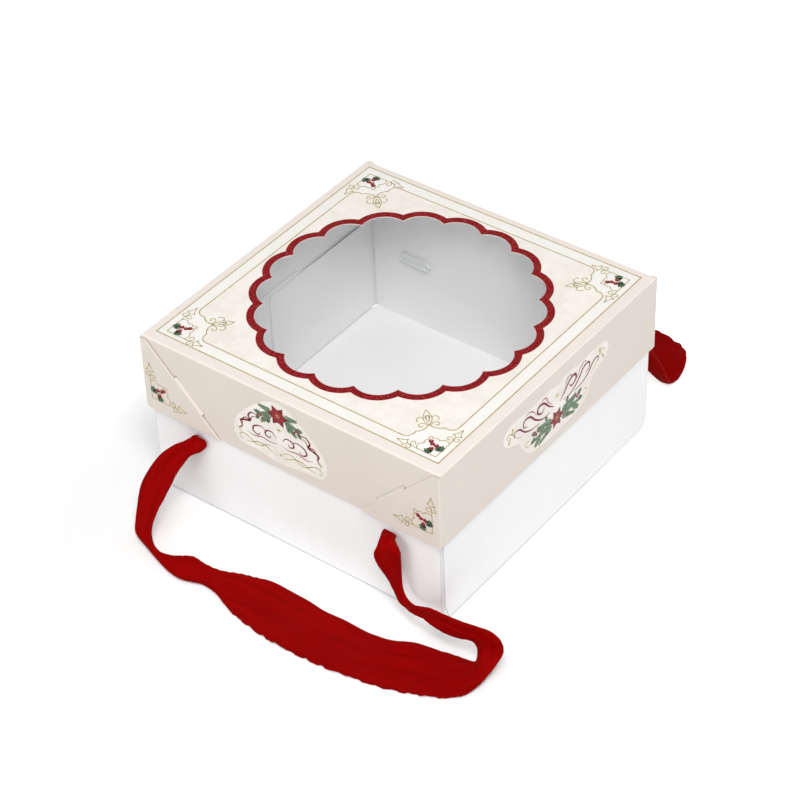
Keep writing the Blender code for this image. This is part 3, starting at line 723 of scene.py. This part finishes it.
# Wall ornaments, drawn for the right half and mirrored: heights from the floor, places from the middle
END_ORNAMENT = {
    "centre": -7,
    "ground": (
        (0, 126.8), (9, 124.5), (17, 119), (25, 112), (32, 105), (37.5, 97), (39.5, 89), (38, 82),
        (33, 78), (22, 77.6), (11, 76), (0, 74.6),
    ),
    "flower": (116, 9.0),
    "fir": ((4, 117, 8, 12), (4, 115, -18, 15), (6, 113, -42, 12)),
    "holly": ((15, 112.5, -8, 6), (16, 110, -58, 6), (8, 110.5, -80, 5)),
    "berries": ((15, 110.4, 1.2), (17.2, 108.8, 1.1), (13.4, 108.6, 1.1)),
    "stars": ((104, 3.0), (82.4, 2.2)),
    "strokes": (
        ("crimson", 1.7, (
            (18, 108), (23, 108.5), (26, 104.5), (24.5, 101), (28.5, 99.5), (33, 97.5), (32, 93),
            (35.5, 90),
        )),
        ("berry", 0.9, ((19, 106.5), (22.5, 105), (24.5, 101.6), (29, 101.5), (31.5, 98), (31.4, 94.5))),
        ("crimson", 1.3, ((2.5, 95.5), (6, 99.5), (11, 98.5), (12, 95), (8.6, 93.4), (7.6, 95.8))),
        ("crimson", 1.3, ((11, 98.5), (16, 100), (21.5, 97.6), (22.6, 93.4), (18.6, 91.4), (16.6, 94))),
        ("berry", 0.8, ((1.5, 91.5), (8, 90), (15, 91), (22, 89), (28, 90.5))),
        ("gold", 0.8, (
            (1.5, 83.5), (6, 86.5), (11.5, 86), (16.5, 82.6), (22, 82.6), (27, 85.6), (32, 86.6),
            (35, 84), (33.6, 81.4), (31.4, 82.6),
        )),
        ("gold", 0.8, ((2.5, 80.5), (8, 82.6), (13, 84.8), (19.5, 84.6), (25, 82), (30, 81.4))),
        ("gold", 0.6, ((33, 86.6), (34.6, 89), (33.2, 91.2), (31.4, 90))),
    ),
}
SIDE_ORNAMENT = {
    "centre": 4,
    "ground": (
        (0, 117), (12, 119.5), (28, 118), (42, 119), (56, 118), (61.5, 111), (57, 103), (45, 98),
        (39, 89), (31, 80.5), (16, 77.6), (0, 77),
    ),
    "flower": (89.5, 8.2),
    "fir": ((5, 91, 14, 18), (5, 89, -4, 24), (5, 87, -22, 17), (14, 90, 26, 10), (18, 87, -34, 9)),
    "holly": ((24, 93, 22, 6.5), (25, 90, -28, 6.5), (11, 95, 58, 5.5)),
    "berries": ((24, 91.6, 1.3), (26.6, 92.8, 1.2), (22.2, 93.6, 1.1), (12, 83.6, 1.1)),
    "stars": ((108.5, 3.6),),
    "strokes": (
        ("crimson", 2.0, (
            (3.5, 101.5), (9, 105.5), (15, 112), (21, 113), (22.5, 108.5), (17.5, 105.5),
            (14.5, 108.5),
        )),
        ("crimson", 1.7, (
            (8, 99.5), (17, 100), (25, 105), (31, 111.5), (37.5, 112.5), (38.5, 107.5), (34, 105.5),
        )),
        ("crimson", 1.4, ((20, 98.5), (29, 99.5), (37, 103), (43, 109), (48.5, 110), (49, 105.5))),
        ("berry", 0.8, ((5, 104.5), (10, 109.5), (12.5, 115), (16.5, 115.5), (16.5, 112.5))),
        ("berry", 0.8, ((24, 108), (27.5, 113.5), (32.5, 116), (35.5, 114.5))),
        ("gold", 0.7, ((40, 101), (46, 104), (50, 109), (54, 112.5), (57.5, 111), (56, 108.6))),
        ("gold", 1.6, ((51.5, 110.5), (50.8, 113), (51.4, 116))),
        ("gold", 1.6, ((53, 109), (55, 106.5), (55.4, 103.6))),
        ("gold", 0.6, ((14, 84), (20, 80.6), (25.5, 82), (24.4, 85.2), (21.6, 84.4))),
        ("gold", 0.6, ((27, 89), (33, 87), (36, 90), (33.6, 92.4), (31.6, 90.8))),
    ),
}

HOLLY_LEAF = (
    (0, 0), (0.14, 0.12), (0.2, 0.3), (0.34, 0.17), (0.44, 0.33), (0.58, 0.16), (0.72, 0.26),
    (0.82, 0.09), (1, 0),
)
PLAIN_LEAF = ((0, 0), (0.18, 0.12), (0.42, 0.19), (0.7, 0.13), (1, 0))
LEAF_VEIN = ((0.04, 0), (0.9, 0))
VEIN_WIDTH = 0.25
EMBLEM_LEAF_WIDTH = 1.25

# A bloom's layers of petals, each with its share of the radius and its turn, and its ring of seeds
BLOOM_LAYERS = (("crimson", 1.0, 0), ("petal", 0.7, 30))
PETAL_WIDTH = 1.45
SEED_RING_SHARE = 0.15
SEED_SHARE = 0.055
SEED_LEVEL = 2.5 * INK_HEIGHT
# How far a star's points reach in turn, as shares of its radius
STAR_SHARES = (1.0, 0.22, 0.5, 0.22)
# A fir twig, in millimetres and degrees
STEM_WIDTH = 0.35
NEEDLE_PITCH = 0.75
NEEDLE_WIDTH = 0.42
NEEDLE_LENGTH = 4.2
NEEDLE_SHORTENING = 2.6
NEEDLE_ANGLE = 42
NEEDLE_CLOSING = 8

# The lid's corners in turn, and the way to the right on each of its walls
CORNERS = ((1, -1), (1, 1), (-1, 1), (-1, -1))
WALLS = (
    ("front", (1, 0), END_ORNAMENT),
    ("back", (-1, 0), END_ORNAMENT),
    ("right", (0, 1), SIDE_ORNAMENT),
    ("left", (0, -1), SIDE_ORNAMENT),
)
TIP_STEP = 15


def leaf_outline(half, root, degrees, length, width=1.0):
    upper = [(x, y * width) for x, y in half]
    lower = [(x, -y) for x, y in reversed(upper[1:-1])]
    return turned(upper + lower, degrees, root, length)


def holly_leaf(root, degrees, length, width=1.0):
    """A leaf's edge and its vein."""
    return leaf_outline(HOLLY_LEAF, root, degrees, length, width), turned(LEAF_VEIN, degrees, root, length)


def add_holly_leaf(inks, edge, vein, place, level):
    add_patch(inks["leaf"], edge, place, level)
    add_line(inks["sprig"], vein, VEIN_WIDTH * MM, place, level + INK_HEIGHT)


def add_berry(inks, centre, radius, place, level):
    add_patch(inks["berry"], round_outline(centre, radius, 12), place, level)
    shine = shifted([centre], (-0.3 * radius, 0.35 * radius))[0]
    add_patch(inks["pale"], round_outline(shine, 0.22 * radius, 6), place, level + INK_HEIGHT)


def add_flower(inks, centre, radius, place, level):
    """A round bloom: six long petals, six short ones over them and gold seeds in the middle."""
    for layer, (name, size, turn) in enumerate(BLOOM_LAYERS):
        for petal in range(6):
            outline = leaf_outline(PLAIN_LEAF, centre, turn + 60 * petal, radius * size, PETAL_WIDTH)
            add_patch(inks[name], outline, place, level + layer * INK_HEIGHT + petal * STACK_STEP)
    for seed in [centre, *round_outline(centre, SEED_RING_SHARE * radius, 6)]:
        add_patch(inks["gold"], round_outline(seed, SEED_SHARE * radius, 6), place, level + SEED_LEVEL)


def add_fir(inks, root, degrees, length, place, level):
    """A fir twig: a stem with needles that shorten towards its tip."""
    tip = turned([(1.0, 0.0)], degrees, root, length)[0]
    add_line(inks["sprig"], [root, tip], STEM_WIDTH * MM, place, level)
    count = int(length / (NEEDLE_PITCH * MM))
    for needle in range(1, count):
        share = needle / count
        foot = turned([(share, 0.0)], degrees, root, length)[0]
        reach = (NEEDLE_LENGTH - NEEDLE_SHORTENING * share) * MM
        for side in (-1, 1):
            name = "sprig" if (needle + (side > 0)) % 2 else "leaf"
            turn = degrees + side * (NEEDLE_ANGLE - NEEDLE_CLOSING * share)
            end = turned([(1.0, 0.0)], turn, foot, reach)[0]
            add_line(inks[name], [foot, end], NEEDLE_WIDTH * MM, place, level + needle % 3 * STACK_STEP)


def add_star(inks, centre, radius, place, level):
    outline = []
    for point in range(16):
        reach = radius * STAR_SHARES[point % 4]
        outline += turned([(reach, 0.0)], 22.5 * point, centre)
    add_patch(inks["gold"], outline, place, level)


def corner_places(inset, shift):
    """The four corners of a square print: u and v of its point and the two ways its legs run."""
    reach = LID_FACE - inset
    points = shifted([(su * reach, sv * reach) for su, sv in CORNERS], shift)
    return [(u, v, -su, -sv) for (u, v), (su, sv) in zip(points, CORNERS)]


def from_corner(corner, points):
    """Turns places along a corner's two legs into places in the print."""
    u, v, du, dv = corner
    return [(u + du * a, v + dv * b) for a, b in points]


def add_corner_lines(inks, corner, lines, steps, width, place, level):
    """Gold lines, drawn for one leg of a corner and mirrored for the other."""
    for line in lines:
        path = smooth_path(in_mm(line), steps)
        for leg in (path, [(b, a) for a, b in path]):
            add_line(inks["gold"], from_corner(corner, leg), width, place, level)


def add_emblem(inks, corner, place, level):
    """Right-angled gold lines with scrolls and spear ends, round holly and berries."""
    add_corner_lines(inks, corner, EMBLEM_LINES, 5, EMBLEM_LINE_WIDTH, place, level)
    for a, b, degrees, length in EMBLEM_LEAVES:
        edge, vein = holly_leaf((a * MM, b * MM), degrees, length * MM, EMBLEM_LEAF_WIDTH)
        add_holly_leaf(inks, from_corner(corner, edge), from_corner(corner, vein), place, level)
    for a, b, radius in EMBLEM_BERRIES:
        centre = from_corner(corner, [(a * MM, b * MM)])[0]
        add_berry(inks, centre, radius * MM, place, level + INK_HEIGHT)


def panel_outline():
    """The inner panel's edge: straight sides with a scalloped step at each corner."""
    half = []
    for piece in PANEL_CORNER:
        half += smooth_path(in_mm(piece), 6)[:-1]
    half += in_mm(PANEL_CORNER[-1][-1:])
    whole = half + [(b, a) for a, b in reversed(half[:-1])]
    outline = []
    for number, corner in enumerate(corner_places(0, PRINT_SHIFT)):
        edge = from_corner(corner, whole)
        outline += edge[::-1] if number % 2 else edge
    return outline


def new_inks():
    return {name: bmesh.new() for name in ink_materials}


def finish_inks(inks, prefix):
    for name, bm in inks.items():
        if bm.verts:
            finish_piece(f"{prefix}_{name}_print", bm, ink_materials[name], "lid")
        else:
            bm.free()


def print_lid_top():
    window = scallop_outline(WINDOW_MARGIN)
    square = [corner[:2] for corner in corner_places(BORDER_INSET, PRINT_SHIFT)]
    inks = new_inks()
    for name, material, outline, level in (
        ("border_print", border_ink, square, BORDER_LEVEL),
        ("panel_print", panel_print, panel_outline(), PANEL_LEVEL),
    ):
        ground = bmesh.new()
        add_pierced_patch(ground, outline, window, on_top, level)
        finish_piece(name, ground, material, "lid")
        add_line(inks["gold"], outline, LINE_WIDTH, on_top, LINE_LEVEL, closed=True)
    for corner in corner_places(EMBLEM_INSET, EMBLEM_SHIFT):
        add_emblem(inks, corner, on_top, LINE_LEVEL)
    for corner in corner_places(0, PRINT_SHIFT):
        add_corner_lines(inks, corner, FLOURISH_LINES, 6, FLOURISH_LINE_WIDTH, on_top, LINE_LEVEL)
    finish_inks(inks, "lid_top")


def add_half_ornament(inks, centre, side, design, place):
    """Greenery, berries and pen strokes to the left or to the right of a wall ornament's middle."""
    def across(a, b):
        return (centre + side * a * MM, b * MM)

    def way(degrees):
        return degrees if side > 0 else 180 - degrees

    for a, b, degrees, length in design["fir"]:
        add_fir(inks, across(a, b), way(degrees), length * MM, place, PANEL_LEVEL)
    for number, (a, b, degrees, length) in enumerate(design["holly"]):
        level = PANEL_LEVEL + INK_HEIGHT + number * STACK_STEP
        add_holly_leaf(inks, *holly_leaf(across(a, b), way(degrees), length * MM), place, level)
    for a, b, radius in design["berries"]:
        add_berry(inks, across(a, b), radius * MM, place, PANEL_LEVEL + 2 * INK_HEIGHT)
    for name, width, line in design["strokes"]:
        path = [across(a, b) for a, b in smooth_path(line, 7)]
        add_line(inks[name], path, width * MM, place, PANEL_LEVEL, taper=True)


def add_wall_ornament(inks, design, place):
    """A small picture of bloom, greenery and pen strokes on a pale ground."""
    centre = design["centre"] * MM
    half = in_mm(design["ground"])
    whole = half + [(-a, b) for a, b in reversed(half[1:-1])]
    ground = shifted(smooth_path(whole, 4, closed=True), (centre, 0))
    add_patch(inks["pale_ground"], ground, place, BORDER_LEVEL)
    height, radius = design["flower"]
    add_flower(inks, (centre, height * MM), radius * MM, place, PANEL_LEVEL + 2 * INK_HEIGHT)
    for height, radius in design["stars"]:
        add_star(inks, (centre, height * MM), radius * MM, place, PANEL_LEVEL)
    for side in (-1, 1):
        add_half_ornament(inks, centre, side, design, place)


def print_lid_walls():
    for name, right, design in WALLS:
        inks = new_inks()
        add_wall_ornament(inks, design, on_wall(right, LID_FACE))
        if design is END_ORNAMENT:
            for side in (-1, 1):
                corner = (side * FLAP_EMBLEM[0], FLAP_EMBLEM[1], -side, 1)
                add_emblem(inks, corner, on_wall(right, WEB_FACE), BORDER_LEVEL)
        finish_inks(inks, f"lid_{name}")


def make_glitter_ring():
    """The raised glitter edge round the window."""
    bm = bmesh.new()
    inner, outer = GLITTER_MARGIN, GLITTER_WIDTH
    low, high = PANEL_LEVEL, PANEL_LEVEL + GLITTER_HEIGHT
    rings = []
    for offset, level in ((inner, low), (inner, high), (outer, high), (outer, low)):
        rings.append([bm.verts.new(on_top(u, v, level)) for u, v in scallop_outline(offset)])
    for near, far in zip(rings, rings[1:] + rings[:1]):
        join_loops(bm, near, far)
    finish_piece("glitter_ring", bm, red_glitter(), "lid")


def close_lid_corners():
    """The rounded tips of board where the top's folds meet at each corner, painted the walls' darker shaded
    cream.
    """
    bm = bmesh.new()
    reach = LID_FACE - LID_FOLD_RADIUS
    for su, sv in CORNERS:
        centre = Vector((su * reach, sv * reach, LID_TOP - LID_FOLD_RADIUS))
        points = [centre]
        for rise in range(0, 90, TIP_STEP):
            width = LID_FOLD_RADIUS * math.cos(math.radians(rise))
            height = LID_FOLD_RADIUS * math.sin(math.radians(rise))
            for u, v in arc_points((0, 0), width, 0, 90, 90 // TIP_STEP):
                points.append(centre + Vector((su * u, sv * v, height)))
        points.append(centre + Vector((0, 0, LID_FOLD_RADIUS)))
        bmesh.ops.convex_hull(bm, input=[bm.verts.new(point) for point in points])
    # Painted shade: the tips get the darker cream of the shaded walls, not the top's
    board = ink("shaded_corner_board", (222, 212, 203), (234, 224, 215), 0.004)
    finish_piece("lid_corner_tips", bm, board, "lid", 40)


# Satin handles

# Each row has a point of the outer edge, one of the inner edge and how thick the folds lie, in millimetres
FRONT_RIBBON = (
    (-86.2, -121.7, 58, -75.8, -121.7, 58, 3.2),
    (-86.2, -123.8, 58, -75.8, -123.8, 58, 3.2),
    (-85.6, -126.2, 60.4, -73.9, -126.2, 55.8, 9),
    (-84.6, -130, 62.4, -77, -130.2, 53.4, 9.6),
    (-85, -135, 62.8, -80.6, -134.6, 53, 8),
    (-90.2, -140.3, 60.4, -82.4, -138.8, 48.8, 5.6),
    (-96.7, -147.8, 53.9, -83.4, -145.5, 43.8, 4.2),
    (-103.6, -154, 40.6, -85, -151.2, 35.8, 3.4),
    (-106, -161, 28.6, -86.2, -158, 27.5, 3),
    (-103.2, -169.5, 16.4, -87.2, -165.8, 19.4, 3),
    (-101, -175.2, 5, -87, -172.4, 10.4, 2.8),
    (-96, -178.6, 2.4, -80.8, -179.2, 6.4, 2.6),
    (-80, -184.2, 2, -71.8, -184, 6.2, 2.4),
    (-61, -191, 1.8, -62.8, -182.4, 6, 2.2),
    (-47, -193.2, 1.8, -55.4, -178.8, 6.2, 2),
    (-38, -191.2, 1.7, -49.4, -175.6, 7, 1.8),
    (-28.5, -188.2, 1.5, -44, -175.4, 7, 1.6),
    (-17, -189.4, 1.3, -37, -174.8, 5, 1.4),
    (-6, -193.8, 1, -26, -171.6, 3, 1.1),
    (4.5, -197.3, 0.8, -11.5, -165, 1.8, 0.9),
    (20, -200.3, 0.6, 4.2, -160, 1.2, 0.7),
    (37, -202.4, 0.5, 20, -158.4, 1, 0.6),
    (52.4, -202.6, 0.5, 37.5, -159.2, 0.9, 0.6),
    (67, -202.2, 0.5, 55, -160.6, 0.9, 0.6),
    (85.4, -200.8, 0.5, 73.4, -159.4, 0.9, 0.6),
    (103, -198, 0.5, 91, -158.8, 0.9, 0.6),
    (121, -194.6, 0.5, 106.8, -155.6, 1, 0.6),
    (137, -189.6, 0.5, 121.6, -149, 1.1, 0.6),
    (152, -183.6, 0.6, 137.5, -145.2, 1.1, 0.7),
    (164, -177.4, 0.9, 151.5, -142.8, 1.2, 0.8),
    (172, -169.6, 1.5, 160.8, -141.4, 1.6, 0.9),
    (175.6, -160, 2.6, 162.4, -140.4, 4.6, 1.1),
    (176.8, -148.6, 4.6, 162, -139.2, 9.4, 1.4),
    (178, -139.6, 8.8, 160.4, -138.5, 13.6, 1.7),
    (179.4, -135.2, 15.6, 158.2, -138.5, 15.8, 1.9),
    (178.2, -135.2, 24.2, 155, -139.4, 16.8, 2),
    (171.8, -135.9, 29.4, 150.4, -140.8, 16.4, 2),
    (163.6, -137.6, 30.6, 145.2, -141.4, 15.8, 2),
    (154.6, -139, 30.2, 138.4, -142, 15.2, 2.1),
    (144.8, -139.4, 29.2, 131.8, -141.6, 15, 2.2),
    (135, -139.4, 28.2, 125, -140.4, 15, 2.3),
    (125.4, -138.8, 26.8, 118.8, -138.4, 15, 2.5),
    (117.8, -138.2, 24, 113.6, -138.6, 14.8, 2.8),
    (110.6, -136.8, 20.4, 107.8, -138.2, 13.8, 3.1),
    (104.4, -133.8, 17.2, 102, -135.8, 12.2, 3.4),
    (99.6, -132.2, 18.4, 96.2, -134.8, 13.4, 3.5),
    (96.8, -131.6, 24.6, 92.4, -134.4, 19.4, 3.6),
    (96, -131.4, 35.8, 87.6, -134.6, 29.4, 3.8),
    (95.8, -131.8, 46.8, 80, -135.4, 40.4, 4),
    (95.6, -131.6, 53.8, 78, -136, 49, 4.4),
    (93.2, -131, 58, 79.6, -134.2, 54.6, 5),
    (89.8, -128.6, 59.6, 78.8, -130.4, 57.4, 5.6),
    (87.2, -125.8, 58.8, 76.6, -126.2, 57.6, 4.6),
    (86.2, -123.8, 58, 75.8, -123.8, 58, 3.2),
    (86.2, -121.7, 58, 75.8, -121.7, 58, 3.2),
)
BACK_RIBBON = (
    (86.2, 121.7, 58, 75.8, 121.7, 58, 3.2),
    (86.2, 123.8, 58, 75.8, 123.8, 58, 3.2),
    (85.6, 126.2, 60.2, 74.6, 126.2, 56.2, 8.4),
    (85, 130, 62.2, 77.6, 130.1, 54, 9),
    (86.4, 135.2, 62.4, 82.2, 134.8, 52.6, 7.4),
    (91, 141, 59.5, 85, 139.5, 46.5, 5.2),
    (100, 148.5, 49, 90, 145.5, 37.5, 4),
    (108, 155, 35, 96, 150.5, 28, 3.2),
    (113.5, 160, 21, 100.5, 155.5, 19.5, 3),
    (115, 163.5, 10, 105, 160.5, 11.6, 2.8),
    (115.5, 169, 3.8, 109.5, 164, 6.4, 2.6),
    (116, 178, 3.2, 113, 167.5, 3.4, 2),
    (113.5, 190, 4.4, 110, 169, 2.6, 1.5),
    (108.5, 200, 4.6, 99, 171, 2, 1.2),
    (100, 209, 3.6, 85, 174, 1.4, 1.2),
    (84, 214.5, 2.4, 69, 175, 1.2, 0.9),
    (64, 217, 1.4, 50, 175, 1, 0.7),
    (38, 217, 0.9, 27, 175, 1, 0.7),
    (6, 214.5, 0.8, -2, 172.5, 1, 0.7),
    (-28, 212, 0.8, -33, 170, 1, 0.7),
    (-62, 211, 0.8, -62, 169, 1, 0.7),
    (-95, 210, 0.9, -90, 168.5, 1.1, 0.8),
    (-125, 206.5, 1, -114, 167, 1.5, 0.9),
    (-148, 198, 1.4, -131, 163, 3, 1.2),
    (-161, 184, 3, -143, 156.5, 6.5, 1.6),
    (-164.5, 169, 8, -145.5, 150, 12, 2),
    (-160, 157, 15.5, -141.5, 144.5, 16, 2.2),
    (-148.5, 149.5, 22.5, -132, 141, 17.5, 2.2),
    (-134, 144.5, 26.5, -120.5, 139, 18.5, 2.4),
    (-119.5, 141, 30, -109.5, 137.5, 20.5, 2.8),
    (-107.5, 140, 36, -98.5, 138.5, 27, 3.4),
    (-99.5, 140, 45, -89.5, 139, 37, 4.2),
    (-93.2, 139, 53.5, -83.2, 138, 47, 5.2),
    (-89, 135, 59, -79.5, 135, 55, 6.2),
    (-88.2, 130, 59.4, -77.6, 130.2, 57.4, 5.8),
    (-87, 126.2, 58.8, -76.4, 126.2, 57.8, 4.8),
    (-86.2, 123.8, 58, -75.8, 123.8, 58, 3.2),
    (-86.2, 121.7, 58, -75.8, 121.7, 58, 3.2),
)

# The cloth, in millimetres and shares
RIBBON_WIDTH = 42.0
RIBBON_STEPS = 6
RIBBON_CELLS = 36
RIBBON_CLOTH = 0.3
RIBBON_FLOOR = 0.35
RIBBON_STRETCH_LIMIT = 1.1
GATHERED_WIDTH = 12.0
LOOSE_WIDTH = 38.0
INNER_FOLD_SHARE = 0.62
TUCK_SHARE = 1.9
RIPPLE_START = 0.8


def wave(*terms):
    """A sum of sines, each given as its size and its angle."""
    return sum(size * math.sin(angle) for size, angle in terms)


def cloth_waves(share, travelled, loose):
    """How far creases, swells and the ripples of the outer edge lift the cloth and push it outwards."""
    crease = wave((0.30, 21 * share + travelled * 0.03), (0.16, 47 * share - travelled * 0.05))
    swell = wave((0.35, travelled * 0.11 + 3 * share), (0.25, travelled * 0.23 - 5 * share))
    edge = max(0.0, share - RIPPLE_START) / (1 - RIPPLE_START)
    ripple = edge * wave((0.5, travelled * 0.62), (0.35, travelled * 1.13 + 1.0))
    out = edge * wave((0.5, travelled * 0.5 + 2.0), (0.3, travelled * 0.97))
    return (1 - loose) * crease + loose * (swell + ripple), loose * out


def folded_section(width, thick):
    """A front layer with both edges tucked behind it: share of the width, across and lift of each point."""
    points = []
    for cell in range(RIBBON_CELLS + 1):
        share = cell / RIBBON_CELLS
        place = RIBBON_WIDTH * (share - 0.5)
        side = 1 if place >= 0 else -1
        bend = max(0.25, thick / 2 * (1.0 if side > 0 else INNER_FOLD_SHARE))
        flat = max(0.1, width / 2 - bend)
        run = abs(place)
        if run <= flat:
            across, lift = run, 0.0
        elif run <= flat + math.pi * bend:
            angle = (run - flat) / bend
            across, lift = flat + bend * math.sin(angle), bend * (math.cos(angle) - 1)
        else:
            rest = min(run - flat - math.pi * bend, TUCK_SHARE * flat)
            across, lift = flat - rest, -2 * bend
        points.append((share, side * across, thick / 2 + lift))
    return points


def lay_ribbon(name, rows, nodes):
    """Builds one continuous strip through its rows, with soft creases and a rippled outer edge."""
    places = smooth_path(rows, RIBBON_STEPS)
    centres = [(Vector(row[0:3]) + Vector(row[3:6])) / 2 for row in places]
    bm = bmesh.new()
    uv_layer = bm.loops.layers.uv.new("ribbon")
    grid = []
    travelled = 0.0
    for index, row in enumerate(places):
        centre = centres[index]
        if index:
            travelled += (centre - centres[index - 1]).length
        run = centres[min(index + 1, len(places) - 1)] - centres[max(index - 1, 0)]
        spread = Vector(row[0:3]) - Vector(row[3:6])
        width = spread.length
        flat = spread.normalized()
        face = flat.cross(run).normalized()
        loose = max(0.0, min(1.0, (width - GATHERED_WIDTH) / (LOOSE_WIDTH - GATHERED_WIDTH)))
        section = folded_section(min(width, RIBBON_WIDTH * RIBBON_STRETCH_LIMIT), row[6])
        ring = []
        for share, across, lift in section:
            rise, out = cloth_waves(share, travelled, loose)
            across *= max(1.0, width / RIBBON_WIDTH)
            point = centre + flat * (across + out) + face * (lift + rise)
            point.z = max(point.z, RIBBON_FLOOR)
            ring.append((bm.verts.new(point * MM), (share * RIBBON_WIDTH * MM, travelled * MM)))
        grid.append(ring)
    for low, high in zip(grid, grid[1:]):
        for i in range(RIBBON_CELLS):
            corners = (low[i], low[i + 1], high[i + 1], high[i])
            made = bm.faces.new([vert for vert, _ in corners])
            for loop, (_, uv) in zip(made.loops, corners):
                loop[uv_layer].uv = uv
    ribbon = add_mesh(name, bm, satin)
    ribbon.data.shade_smooth()
    cloth = ribbon.modifiers.new("Cloth thickness", "SOLIDIFY")
    cloth.thickness = RIBBON_CLOTH * MM
    cloth.offset = 0
    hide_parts(*nodes)
    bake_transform(ribbon)


# The scene

bpy.context.scene.view_settings.view_transform = "Standard"
set_camera()
lay_floor()
light_sky()
hang_lamps()

satin = red_satin()
ink_materials = {"gold": gold_foil()}
for name, dark, light, size in INKS:
    ink_materials[name] = ink(f"{name}_ink", dark, light, size)
border_ink = ink("border_ink", (248, 244, 237), (251, 248, 243), 0.03, 0.42)
panel_print = panel_ink()

finishes = {"base_tray": white_board(), "lid": printed_board(), "window_film": clear_film()}
bar_plastic = white_plastic()
for end in ("front", "back"):
    for hand in ("left", "right"):
        finishes[f"{end}_{hand}_t_bar"] = bar_plastic
        finishes[f"{end}_{hand}_ribbon_end"] = satin
    finishes[f"{end}_ribbon"] = satin
for node, finish in finishes.items():
    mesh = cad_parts[node].data
    mesh.materials.clear()
    mesh.materials.append(finish)

print_lid_top()
print_lid_walls()
make_glitter_ring()
close_lid_corners()
for end, side, rows in (("front", -1, FRONT_RIBBON), ("back", 1, BACK_RIBBON)):
    nodes = (f"{end}_ribbon", f"{end}_left_ribbon_end", f"{end}_right_ribbon_end")
    lay_ribbon(f"{end}_satin_handle", rows, nodes)
